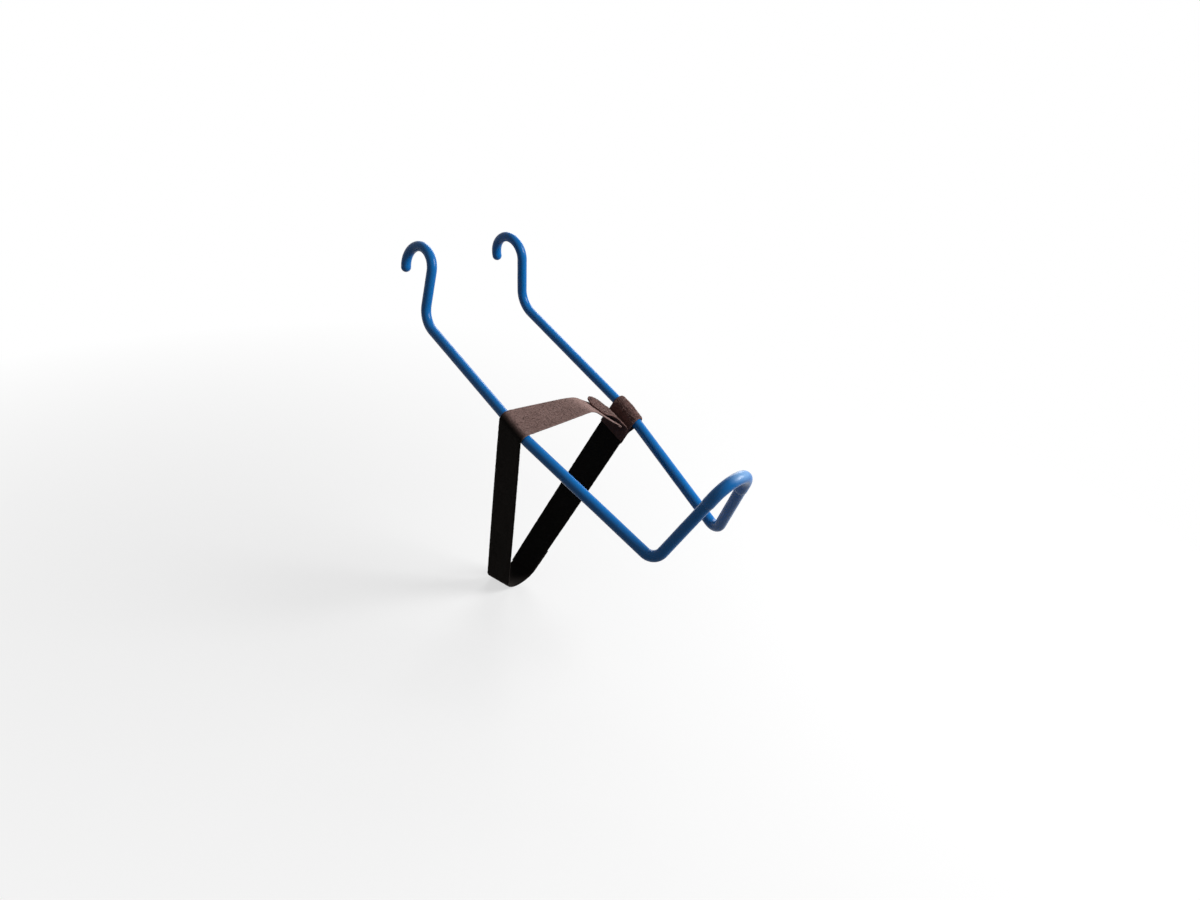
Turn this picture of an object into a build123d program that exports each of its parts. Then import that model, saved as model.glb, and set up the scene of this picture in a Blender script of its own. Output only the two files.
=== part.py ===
from build123d import *
from math import acos, asin, atan2, cos, degrees, pi, radians, sin, sqrt, tan
import os

# Handlebar holder: one bent, dipped rod that hooks over a handlebar and bridges over a top tube,
# with a hook-and-loop strap round both arms. +X points to the front of the bicycle, +Y to the
# rider's left, +Z up. The origin is on the handlebar's axis, midway between the two hooks.

# ---------------------------------------------------------------- driving dimensions (mm)
ROD_DIAMETER = 8.0
COAT_WALL = 0.8              # first dip, over the whole rod
YOKE_COAT_WALL = 0.4         # second dip, over the lower half
SLEEVE_WALL = 0.5            # cushion sleeve over the bridge

HOOK_SPACING = 116.4         # centre to centre of the two hooks
HOOK_BORE = 28.6             # inside of a coated hook
HOOK_TIP_ANGLE = -12.0       # where the hook ends, from straight ahead, degrees

ARM_BEND_BACK = -16.4        # the bend at the foot of each hook's shank
ARM_BEND_DOWN = -47.6
ARM_BEND_HALF_WIDTH = 64.1
ARM_BEND_RADIUS = 23.0

WAIST_BACK = -166.1          # the slight inward bend under the strap
WAIST_DOWN = -120.6
WAIST_HALF_WIDTH = 67.9
WAIST_RADIUS = 40.0

CORNER_BACK = -302.5         # the sharp corner below the top tube
CORNER_DOWN = -190.8
CORNER_HALF_WIDTH = 45.2
CORNER_RADIUS = 12.0

BRIDGE_TOP_BACK = 42.7       # top of the bridge's centreline, behind the corners
BRIDGE_TOP_UP = 79.9         # and above them
BRIDGE_RADIUS = 22.6

YOKE_COAT_START = 8.0        # how far before the waist bend the second dip begins
SLEEVE_RUN = 7.0             # how far the sleeve reaches down each riser past the bridge's arc

TAPE_WIDTH = 32.0
TAPE_THICKNESS = 2.0
TAPE_CLEARANCE = 0.3         # between a tape and the coat or tape that it lies on
HINGE_GAP = 0.3              # at each line where a tape flexes
SEWN_GAP = 0.1               # between two layers that are sewn together
WRAP_CENTRE = -17.0          # strap's centre from the waist bend, along the near arm
EYE_CENTRE = 2.6             # and along the far arm

TURN_HALF_WIDTH = 18.0       # inner radius of the strap's turn under the frame
TURN_DOWN = -201.7           # its centre, square to the arms from the waist
TURN_BACK = 12.2             # its centre, along the arms
TURN_TWIST = 26.0            # how far the tape rolls there to lie on the down tube, degrees
LAP_LENGTH = 30.0            # overlap of the two tapes on the far side

CREST_RADIUS = 22.0          # how the cross run bends over the top tube
CREST_SIDE = 3.0             # its highest point, sideways,
CREST_UP = 19.3              # above the waist,
CREST_TWIST = 20.0           # and rolled to lie flat on the top tube, degrees
CROSS_START_ANGLE = 4.0      # length of the cross run that still lies round the near arm, degrees
CROSS_SLOPE = 0.52           # fall of the cross run's end per mm sideways
CROSS_END_GAP = 18.9         # from the far arm's centre to the cross run's end, sideways
HEM_LENGTH = 7.0
HEM_THICKNESS = 0.6
HEM_SEAM = 4.0               # stitch row from the hem's end

SEAM_LENGTH = 18.0           # lapped tail of the sewn eye
SEAM_GAP = 1.0               # from the eye to its lapped tail
TAB_LENGTH = 37.9
TAB_HINGE_RISE = 1.6         # from the root's upper end to the line where the tab flexes
TAB_ROOT_LENGTH = 14.0       # sewn root of the tab, down the far run
PATCH_START = 6.0            # hook patch from the line where the tab flexes
PATCH_MARGIN = 3.0           # and inside the tab's edges
PATCH_THICKNESS = 0.8

SEAM_MARGIN = 3.0            # stitch rows inside the edges
THREAD = 0.5
THREAD_GAP = 0.1
STITCH_LENGTH = 2.4
STITCH_PITCH = 3.6

# ---------------------------------------------------------------- derived sizes
rod_radius = ROD_DIAMETER / 2
coat_radius = rod_radius + COAT_WALL
yoke_radius = coat_radius + YOKE_COAT_WALL
sleeve_radius = yoke_radius + SLEEVE_WALL
hook_radius = HOOK_BORE / 2 + coat_radius
wrap_radius = yoke_radius + TAPE_CLEARANCE + TAPE_THICKNESS / 2
os.makedirs("parts", exist_ok=True)


def mirrored(point):
    return Vector(point.X, -point.Y, point.Z)


def save(solid, name):
    solid.label = name
    export_step(solid, f"parts/{name}.step")


# ---------------------------------------------------------------- rod centreline
hook_centre = Vector(0, HOOK_SPACING / 2, 0)
arm_bend = Vector(ARM_BEND_BACK, ARM_BEND_HALF_WIDTH, ARM_BEND_DOWN)
waist = Vector(WAIST_BACK, WAIST_HALF_WIDTH, WAIST_DOWN)
corner = Vector(CORNER_BACK, CORNER_HALF_WIDTH, CORNER_DOWN)
bridge_top = Vector(CORNER_BACK - BRIDGE_TOP_BACK, 0, CORNER_DOWN + BRIDGE_TOP_UP)

# The hook lies in the plane of its shank, which leans out a few degrees towards its foot.
shank_lean = atan2(arm_bend.Y - hook_centre.Y, -arm_bend.Z)
hook_up = Vector(0, -sin(shank_lean), cos(shank_lean))
hook_ahead = Vector(1, 0, 0)


def on_hook(angle):
    return hook_centre + (hook_ahead * cos(angle) + hook_up * sin(angle)) * hook_radius


to_bend = arm_bend - hook_centre
bend_angle = atan2(to_bend.dot(hook_up), to_bend.dot(hook_ahead))
shank_angle = bend_angle % (2 * pi) - (pi / 2 - asin(hook_radius / to_bend.length))
tip_angle = radians(HOOK_TIP_ANGLE)

# The risers and the bridge lie in one plane. The risers would meet above the bridge, at the peak,
# and the bridge's arc touches both of them.
riser_foot = Vector(corner.X, 0, corner.Z)
riser_rise = (bridge_top - riser_foot).length
riser_up = (bridge_top - riser_foot).normalized()


def peak_height():
    """Height of the peak above the corners at which the arc's top is the bridge's top."""
    low, high = riser_rise, 10 * riser_rise
    for _ in range(60):
        height = (low + high) / 2
        lean = atan2(corner.Y, height)
        top = height - BRIDGE_RADIUS / sin(lean) + BRIDGE_RADIUS
        low, high = (height, high) if top < riser_rise else (low, height)
    return height


peak = riser_foot + riser_up * peak_height()


def bend_ends(before, at, after, radius):
    """Where a bend of this radius starts, its middle point and where it ends."""
    back = (before - at).normalized()
    ahead = (after - at).normalized()
    half = radians(back.get_angle(ahead) / 2)
    run = radius / tan(half)
    middle = at + (back + ahead).normalized() * (radius / sin(half) - radius)
    return at + back * run, middle, at + ahead * run


def limb(side):
    """The points of one half, from the hook's tip to the bridge's top, on the left or right."""
    place = (lambda point: point) if side > 0 else mirrored
    shank = on_hook(shank_angle)
    points = {"tip": on_hook(tip_angle), "crown": on_hook((tip_angle + shank_angle) / 2),
              "shank": shank, "bridge_top": bridge_top}
    bends = {"arm": (shank, arm_bend, waist, ARM_BEND_RADIUS),
             "waist": (arm_bend, waist, corner, WAIST_RADIUS),
             "corner": (waist, corner, peak, CORNER_RADIUS),
             "bridge": (corner, peak, mirrored(corner), BRIDGE_RADIUS)}
    for name, bend in bends.items():
        ends = bend_ends(*bend)
        points.update(zip((f"{name}_start", f"{name}_mid", f"{name}_end"), ends))
    return {name: place(point) for name, point in points.items()}


left = limb(1)
right = limb(-1)
near_arm = (left["waist_start"] - left["arm_end"]).normalized()
far_arm = mirrored(near_arm)
far_leg = (right["corner_start"] - right["waist_end"]).normalized()
waist_run = (waist - left["waist_start"]).length
yoke_start = left["waist_start"] - near_arm * YOKE_COAT_START
riser = (left["bridge_start"] - left["corner_end"]).normalized()
sleeve_start = left["bridge_start"] - riser * SLEEVE_RUN


def hook_wires(points):
    """The hook, its shank and the bend at the shank's foot."""
    ThreePointArc(points["tip"], points["crown"], points["shank"])
    Line(points["shank"], points["arm_start"])
    ThreePointArc(points["arm_start"], points["arm_mid"], points["arm_end"])


def leg_wires(points, start):
    """From a point on the arm through the waist and the corner to the bridge's start."""
    Line(start, points["waist_start"])
    ThreePointArc(points["waist_start"], points["waist_mid"], points["waist_end"])
    Line(points["waist_end"], points["corner_start"])
    ThreePointArc(points["corner_start"], points["corner_mid"], points["corner_end"])
    Line(points["corner_end"], points["bridge_start"])


def bridge_wire():
    ThreePointArc(left["bridge_start"], left["bridge_top"], right["bridge_start"])


with BuildLine() as rod_path:
    hook_wires(left)
    leg_wires(left, left["arm_end"])
    bridge_wire()
    hook_wires(right)
    leg_wires(right, right["arm_end"])

with BuildLine() as yoke_path:
    leg_wires(left, yoke_start)
    bridge_wire()
    leg_wires(right, mirrored(yoke_start))

with BuildLine() as sleeve_path:
    Line(sleeve_start, left["bridge_start"])
    bridge_wire()
    Line(right["bridge_start"], mirrored(sleeve_start))


# ---------------------------------------------------------------- rod and its coats
def start_plane(path):
    """Square to the path at its start."""
    wire = path.wires()[0]
    return Plane(origin=wire @ 0, z_dir=wire % 0)


def round_bar(path, radius):
    """A round bar along a path."""
    with BuildPart() as bar:
        with BuildSketch(start_plane(path)):
            Circle(radius)
        sweep(path=path.wires()[0])
    return bar.part


def tube(path, outer, inner):
    """A round tube along a path."""
    with BuildPart() as shell:
        with BuildSketch(start_plane(path)):
            Circle(outer)
            Circle(inner, mode=Mode.SUBTRACT)
        sweep(path=path.wires()[0])
    return shell.part


save(round_bar(rod_path, rod_radius), "steel_rod")

# The coat is closed over both tips of the rod by a dome.
with BuildPart() as dip_coat:
    add(tube(rod_path, coat_radius, rod_radius))
    for sign in (1, -1):
        wire = rod_path.wires()[0]
        tip = wire @ (0 if sign > 0 else 1)
        outward = wire % (0 if sign > 0 else 1) * -sign
        with Locations(Plane(origin=tip, z_dir=outward).location):
            Sphere(coat_radius, arc_size1=0, align=(Align.CENTER, Align.CENTER, Align.MIN))
save(dip_coat.part, "dip_coat")
save(tube(yoke_path, yoke_radius, coat_radius), "yoke_coat")
save(tube(sleeve_path, sleeve_radius, yoke_radius), "bridge_sleeve")

# ---------------------------------------------------------------- strap's own directions
# Along the arms (to the back and down), sideways, and square to both (up and to the back).
along = Vector(near_arm.X, 0, near_arm.Z).normalized()
square = Vector(along.Z, 0, -along.X)
sideways = Vector(0, 1, 0)
strap_origin = Vector(WAIST_BACK, 0, WAIST_DOWN)


def tape_plane(side, up, back, polar, twist=0.0, yaw=0.0, lift=0.0):
    """Cross-section of a tape: x across its width, y out of its face.

    side, up and back place its middle in the strap's directions, polar is the way its face looks
    (0 sideways, 90 up), twist rolls it to lie on a sloping tube, yaw turns it towards an arm that
    runs inwards or outwards, and lift moves it out of its face.
    """
    facing = sideways * cos(radians(polar)) + square * sin(radians(polar))
    across = along * cos(radians(twist)) + square * sin(radians(twist)) + sideways * yaw
    across = across.normalized()
    facing = (facing - across * facing.dot(across)).normalized()
    centre = strap_origin + sideways * side + square * up + along * back + facing * lift
    return Plane(origin=centre, x_dir=across, z_dir=across.cross(facing))


def tape(stations, width, thickness, lift=0.0):
    """A tape of this width and thickness through a list of stations."""
    with BuildPart() as band:
        for station in stations:
            with BuildSketch(tape_plane(*station, lift=lift)):
                Rectangle(width, thickness)
        loft(ruled=True)
    return band.part


def spread(start, end, count):
    """Stations evenly from start to end, both included."""
    steps = [step / (count - 1) for step in range(count)]
    return [tuple(a + (b - a) * step for a, b in zip(start, end)) for step in steps]


def round_station(centre, radius, polar, lie):
    """Station on a circle in the strap's side-up directions; lie holds its back, twist and yaw."""
    side = centre[0] + radius * cos(radians(polar))
    up = centre[1] + radius * sin(radians(polar))
    back, twist, yaw = lie
    return (side, up, back, polar, twist, yaw)


def round_stations(centre, radius, first, last, count, lie):
    return [round_station(centre, radius, polar, lie) for (polar,) in spread((first,), (last,), count)]


def tight_polar(first, first_radius, second, second_radius, turn):
    """The way that the face of a tape drawn tight round two circles looks, in degrees."""
    gap_side = first[0] - second[0]
    gap_up = first[1] - second[1]
    heading = degrees(atan2(gap_up, gap_side))
    half = degrees(acos((second_radius - first_radius) / sqrt(gap_side**2 + gap_up**2)))
    return heading + turn * half


# ---------------------------------------------------------------- where the strap lies
# Near arm: the tape lies over it. Far arm: the eye follows its slight bend, and the eye's chord
# gives the far run its upper end.
arm_yaw = near_arm.Y / near_arm.dot(along)
wrap_middle = waist + near_arm * WRAP_CENTRE
wrap_centre = (wrap_middle.Y, 0.0)
wrap_lie = (WRAP_CENTRE, 0.0, arm_yaw)

eye_from = right["waist_start"] - far_arm * (TAPE_WIDTH / 2 - EYE_CENTRE - waist_run)
eye_to = right["waist_end"] + far_leg * (TAPE_WIDTH / 2 + EYE_CENTRE - waist_run)
eye_chord = eye_to - eye_from
eye_middle = (eye_from + eye_to) / 2 - strap_origin
eye_centre = (eye_middle.Y, eye_middle.dot(square))
eye_twist = degrees(atan2(eye_chord.dot(square), eye_chord.dot(along)))
eye_yaw = eye_chord.Y / eye_chord.dot(along)
eye_lie = (eye_middle.dot(along), eye_twist, eye_yaw)
eye_outer = wrap_radius + TAPE_THICKNESS / 2
eye_inner = wrap_radius - TAPE_THICKNESS / 2

turn_centre = (0.0, TURN_DOWN)
turn_radius = TURN_HALF_WIDTH + TAPE_THICKNESS / 2
turn_lie = (TURN_BACK, TURN_TWIST, 0.0)
lap_step = TAPE_THICKNESS + TAPE_CLEARANCE
crest_centre = (CREST_SIDE, CREST_UP - CREST_RADIUS)

cross_polar = tight_polar(wrap_centre, wrap_radius, crest_centre, CREST_RADIUS, 1)
near_polar = tight_polar(wrap_centre, wrap_radius, turn_centre, turn_radius, -1)
far_polar = tight_polar(eye_centre, -wrap_radius, turn_centre, turn_radius - lap_step, 1)

# The far run climbs straight from the turn to the eye.
far_low = round_station(turn_centre, turn_radius - lap_step, far_polar, turn_lie)
far_top = round_station(eye_centre, -wrap_radius, far_polar, eye_lie)
far_length = sqrt((far_top[0] - far_low[0])**2 + (far_top[1] - far_low[1])**2)


def on_far_run(distance):
    """Station of the far run's middle, this far up from the turn."""
    share = distance / far_length
    return tuple(a + (b - a) * share for a, b in zip(far_low, far_top))


def shifted(station, out):
    """The same station moved out of its face."""
    side, up, back, polar, twist, yaw = station
    return (side + out * cos(radians(polar)), up + out * sin(radians(polar)), back, polar, twist, yaw)


# ---------------------------------------------------------------- side tape
# Over the near arm, down the near side, round under the frame and up to the lap on the far side.
hinge_angle = degrees(HINGE_GAP / wrap_radius)
wrap_start = cross_polar - CROSS_START_ANGLE - hinge_angle
wrap_rows = round_stations(wrap_centre, wrap_radius, wrap_start, near_polar, 8, wrap_lie)
turn_rows = round_stations(turn_centre, turn_radius, near_polar, far_polar - 360, 11, turn_lie)
near_rows = spread(wrap_rows[-1], turn_rows[0], 12)[1:-1]
lap_rows = [shifted(on_far_run(distance), lap_step) for distance in (LAP_LENGTH / 2, LAP_LENGTH)]
save(tape(wrap_rows + near_rows + turn_rows + lap_rows, TAPE_WIDTH, TAPE_THICKNESS), "side_tape")

# ---------------------------------------------------------------- cross tape
# From the near arm's top over the top tube, falling to its end under the tab.
slope_angle = atan2(CROSS_SLOPE, 1)
end_polar = 90 + degrees(slope_angle)
strap_width = wrap_centre[0] + WAIST_HALF_WIDTH
cross_end_side = CROSS_END_GAP - WAIST_HALF_WIDTH
crest_enter = round_station(crest_centre, CREST_RADIUS, cross_polar, turn_lie)
crest_leave = round_station(crest_centre, CREST_RADIUS, end_polar, turn_lie)


def skew_back(side):
    """How far back the strap's middle lies, this far to the side."""
    return WRAP_CENTRE + (EYE_CENTRE - WRAP_CENTRE) * (wrap_centre[0] - side) / strap_width


def roll(side):
    """Twist of the cross run: flat on the arms, rolled where it lies on the top tube."""
    if side > CREST_SIDE:
        return CREST_TWIST * min(1.0, (wrap_centre[0] - side) / (wrap_centre[0] - CREST_SIDE))
    return CREST_TWIST * max(0.0, 1 - (CREST_SIDE - side) / (CREST_SIDE + WAIST_HALF_WIDTH))


def cross_station(side, up, polar):
    yaw = arm_yaw + (eye_yaw - arm_yaw) * (wrap_centre[0] - side) / strap_width
    return (side, up, skew_back(side), polar, roll(side), yaw)


def falling(side):
    """Station on the cross run's falling end, this far to the side."""
    return cross_station(side, crest_leave[1] - CROSS_SLOPE * (crest_leave[0] - side), end_polar)


cross_rows = round_stations(wrap_centre, wrap_radius, cross_polar - CROSS_START_ANGLE, cross_polar, 2,
                            wrap_lie)
near_span = spread(cross_rows[-1][:2], crest_enter[:2], 7)[1:]
cross_rows += [cross_station(side, up, cross_polar) for side, up in near_span]
crest_rows = round_stations(crest_centre, CREST_RADIUS, cross_polar, end_polar, 6, turn_lie)[1:]
cross_rows += [cross_station(side, up, polar) for side, up, _, polar, _, _ in crest_rows]
cross_rows += [falling(side) for (side,) in spread(crest_leave[:1], (cross_end_side,), 6)[1:]]
save(tape(cross_rows[::-1], TAPE_WIDTH, TAPE_THICKNESS), "cross_tape")

# The hem is folded under the last few millimetres of the cross run.
hem_rows = [falling(cross_end_side + HEM_LENGTH * cos(slope_angle)), falling(cross_end_side)]
hem_lift = -(TAPE_THICKNESS + HEM_THICKNESS) / 2 - SEWN_GAP
save(tape(hem_rows, TAPE_WIDTH, HEM_THICKNESS, lift=hem_lift), "cross_hem")


# ---------------------------------------------------------------- hook tape
# The far run and the sewn eye round the far arm. The eye's tail is folded back and sewn to the far
# run's outer face.
def eye_line(extra):
    """The far arm inside the eye, longer by extra at both ends."""
    with BuildLine() as line:
        Line(eye_from - far_arm * extra, right["waist_start"])
        ThreePointArc(right["waist_start"], right["waist_mid"], right["waist_end"])
        Line(right["waist_end"], eye_to + far_leg * extra)
    return line


far_rows = [on_far_run(far_length * step / 12) for step in range(13)]
with BuildPart() as hook_tape:
    add(tape(far_rows, TAPE_WIDTH, TAPE_THICKNESS))
    add(round_bar(eye_line(0), eye_outer))
    add(round_bar(eye_line(eye_outer), eye_inner), mode=Mode.SUBTRACT)
save(hook_tape.part, "hook_tape")

seam_drop = eye_outer + SEAM_GAP
seam_rows = [on_far_run(far_length - seam_drop - SEAM_LENGTH * step / 2) for step in range(3)]
eye_lap_lift = TAPE_THICKNESS + SEWN_GAP
save(tape(seam_rows, TAPE_WIDTH, TAPE_THICKNESS, lift=eye_lap_lift), "eye_lap")

# ---------------------------------------------------------------- closing tab
# Its root is sewn to the far run's inner face. The tab itself lies on the cross run, hooks down.
tab_thickness = TAPE_THICKNESS - PATCH_THICKNESS
patch_lift = TAPE_THICKNESS / 2 + TAPE_CLEARANCE + PATCH_THICKNESS / 2
tab_lift = patch_lift + (PATCH_THICKNESS + tab_thickness) / 2 + SEWN_GAP
root_lift = -(TAPE_THICKNESS + tab_thickness) / 2 - SEWN_GAP

# The tab's line and the root's line cross where the tab flexes.
root_high = shifted(far_top, root_lift)
root_down = ((far_low[0] - far_top[0]) / far_length, (far_low[1] - far_top[1]) / far_length)
tab_high = shifted(crest_leave, tab_lift)
root_reach = tab_high[1] - CROSS_SLOPE * (tab_high[0] - root_high[0] - HINGE_GAP)
root_drop = (root_reach - TAB_HINGE_RISE - root_high[1]) / (root_down[1] - CROSS_SLOPE * root_down[0])
root_rows = [on_far_run(far_length - root_drop - TAB_ROOT_LENGTH * step / 2) for step in range(3)]
save(tape(root_rows, TAPE_WIDTH, tab_thickness, lift=root_lift), "tab_root")

tab_start_side = (root_high[0] + root_down[0] * root_drop + HINGE_GAP
                  - tab_lift * cos(radians(end_polar)))


def on_tab(distance):
    """Station of the cross run's middle, under the tab, this far from where the tab flexes."""
    return falling(tab_start_side + distance * cos(slope_angle))


def tab_rows(start, end, count):
    return [on_tab(distance) for (distance,) in spread((start,), (end,), count)]


save(tape(tab_rows(0, TAB_LENGTH, 5), TAPE_WIDTH, tab_thickness, lift=tab_lift), "hook_tab")
patch_width = TAPE_WIDTH - 2 * PATCH_MARGIN
patch_rows = tab_rows(PATCH_START, TAB_LENGTH - PATCH_MARGIN, 4)
save(tape(patch_rows, patch_width, PATCH_THICKNESS, lift=patch_lift), "hook_patch")


# ---------------------------------------------------------------- stitching
seam_width = TAPE_WIDTH - 2 * SEAM_MARGIN
thread_rise = THREAD / 2 + THREAD_GAP


def stitches(planes, size):
    """One straight stitch of this size on each plane."""
    with BuildPart() as rows:
        for plane in planes:
            with Locations(plane.location):
                Box(*size)
    return rows.part


def slid(plane, across):
    return Plane(origin=plane.origin + plane.x_dir * across, x_dir=plane.x_dir, z_dir=plane.z_dir)


def row_across(station, lift):
    """A row of stitches across a tape, clear of the rows along its edges."""
    count = int((seam_width - STITCH_PITCH) / STITCH_PITCH) + 1
    base = tape_plane(*station, lift=lift)
    places = [slid(base, (step - (count - 1) / 2) * STITCH_PITCH) for step in range(count)]
    return stitches(places, (STITCH_LENGTH, THREAD, THREAD))


def rows_along(stations, lift):
    """A row of stitches along each edge of a tape."""
    bases = [tape_plane(*station, lift=lift) for station in stations]
    places = [slid(base, across) for base in bases for across in (-seam_width / 2, seam_width / 2)]
    return stitches(places, (THREAD, THREAD, STITCH_LENGTH))


def box_stitch(name, station_at, start, end, lift):
    """A box of stitches inside a seam: a row across at each end, and one along each edge."""
    first = start + SEAM_MARGIN
    run = end - SEAM_MARGIN - first
    count = int(run / STITCH_PITCH)
    steps = [station_at(first + run * (step + 0.5) / count) for step in range(count)]
    with BuildPart() as box:
        add(row_across(station_at(first), lift))
        add(row_across(station_at(first + run), lift))
        add(rows_along(steps, lift))
    save(box.part, name)


seam_end = far_length - seam_drop
box_stitch("tab_stitching", on_tab, PATCH_START, TAB_LENGTH,
           tab_lift + tab_thickness / 2 + thread_rise)
box_stitch("eye_stitching", on_far_run, seam_end - SEAM_LENGTH, seam_end,
           eye_lap_lift + TAPE_THICKNESS / 2 + thread_rise)
box_stitch("lap_stitching", on_far_run, 0, LAP_LENGTH,
           lap_step + TAPE_THICKNESS / 2 + thread_rise)
hem_station = falling(cross_end_side + HEM_SEAM * cos(slope_angle))
save(row_across(hem_station, hem_lift - HEM_THICKNESS / 2 - thread_rise), "hem_stitching")


# ---------------------------------------------------------------- what the record needs
def run_length(stations):
    """Length of a tape's middle line through its stations."""
    middles = [tape_plane(*station).origin for station in stations]
    return sum((b - a).length for a, b in zip(middles, middles[1:]))


print("rod", rod_path.wires()[0].length)
print("loop tape", run_length(wrap_rows + near_rows + turn_rows + lap_rows) + run_length(cross_rows))
print("hook tape", run_length(far_rows) + 2 * pi * wrap_radius + SEAM_LENGTH, "tab", TAB_LENGTH)
print("cross hinge", wrap_middle, near_arm * -1)
tab_hinge = tape_plane(*on_tab(0), lift=tab_lift)
print("tab hinge", tab_hinge.origin, tab_hinge.x_dir * -1)
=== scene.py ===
# %% [markdown]
# # A handlebar holder: one dipped rod and one strap
#
# The real object hooks over a handlebar with two open hooks, runs back along both sides of the
# top tube, and steps up over the tube in a narrow bridge. It is one steel rod, bent cold and
# dipped in blue vinyl. A hook-and-loop strap goes over the tube and round under the frame.
#
# The rod could be drawn as a curve with a bevel, and the strap as bent boxes. Here the rod is
# swept by spinning a ring of edges through each bend, as a bending machine does it, and each
# tape is cut flat, dressed flat with its pile, and only then laid along its way round the arms.
# So a weave, a row of stitches or a field of pile is made where it is easy to measure.

# %% Load the frame and keep the size of the CAD model
from math import acos, asin, atan2, cos, degrees, hypot, pi, radians, sin, tan
from random import Random

import bmesh
import bpy
from mathutils import Matrix, Vector, noise


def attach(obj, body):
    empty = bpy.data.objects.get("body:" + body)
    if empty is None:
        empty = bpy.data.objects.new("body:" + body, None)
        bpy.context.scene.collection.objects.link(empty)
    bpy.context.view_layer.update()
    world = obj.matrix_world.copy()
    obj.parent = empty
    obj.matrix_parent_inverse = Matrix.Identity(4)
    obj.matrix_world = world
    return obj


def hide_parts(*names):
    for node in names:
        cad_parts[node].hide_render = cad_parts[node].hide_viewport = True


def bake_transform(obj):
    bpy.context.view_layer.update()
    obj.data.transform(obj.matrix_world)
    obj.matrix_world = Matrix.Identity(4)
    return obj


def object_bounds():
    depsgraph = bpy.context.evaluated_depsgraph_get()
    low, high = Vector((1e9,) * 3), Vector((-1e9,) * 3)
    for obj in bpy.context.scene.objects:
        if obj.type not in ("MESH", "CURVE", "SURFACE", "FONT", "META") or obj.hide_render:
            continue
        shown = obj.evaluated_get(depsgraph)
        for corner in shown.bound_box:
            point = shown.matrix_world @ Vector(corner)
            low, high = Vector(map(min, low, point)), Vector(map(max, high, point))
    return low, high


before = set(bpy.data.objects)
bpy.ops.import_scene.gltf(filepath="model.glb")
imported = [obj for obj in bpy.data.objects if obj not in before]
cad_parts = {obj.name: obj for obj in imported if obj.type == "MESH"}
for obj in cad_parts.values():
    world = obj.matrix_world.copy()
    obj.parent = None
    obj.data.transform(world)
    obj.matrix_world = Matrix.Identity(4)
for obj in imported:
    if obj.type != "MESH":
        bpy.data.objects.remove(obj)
cad_box = [list(corner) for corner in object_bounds()]
mm = 0.001
print("CAD box", cad_box)

# %% [markdown]
# ## The camera
#
# The camera stands behind the object, to its left and a little above it, where a rider's shoulder
# would be. It comes first, so that every later step can be looked at through it. A wide lens
# close by gives the near hook and the bridge their strong difference in size.

# %% Place the camera
lens_data = bpy.data.cameras.new("camera")
lens_data.sensor_width = 36
lens_data.lens = 29.65
camera = bpy.data.objects.new("camera", lens_data)
camera.location = (-0.7373, 0.6435, 0.2096)
camera.rotation_euler = (radians(67.562), radians(-4.694), radians(-137.887))
bpy.context.scene.collection.objects.link(camera)
bpy.context.scene.camera = camera
print("camera lens", lens_data.lens, "mm")

# %% [markdown]
# ## Writing shader maths as sentences
#
# A material is a tree of nodes. Built by hand in Python it becomes a long list of links, so this
# lesson wraps a socket in a small class. Then 1 - mask or grain * 0.3 + 0.2 adds its Math nodes
# by itself, and every other node comes from one method, node().


# %% A socket that takes part in sums
class Value:
    """The output of a node, for use in Python expressions."""

    def __init__(self, finish, socket):
        self.finish = finish
        self.socket = socket

    def sum_with(self, operation, first, second):
        return self.finish.node("ShaderNodeMath", {"operation": operation}, {0: first, 1: second})

    def __add__(self, other):
        return self.sum_with("ADD", self, other)

    def __mul__(self, other):
        return self.sum_with("MULTIPLY", self, other)

    def __sub__(self, other):
        return self.sum_with("SUBTRACT", self, other)

    def __rsub__(self, other):
        return self.sum_with("SUBTRACT", other, self)

    __radd__ = __add__
    __rmul__ = __mul__

    def power(self, other):
        return self.sum_with("POWER", self, other)

    def most(self, other):
        return self.sum_with("MAXIMUM", self, other)

    def clipped(self):
        return self.finish.node("ShaderNodeClamp", inputs={0: self})


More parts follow.
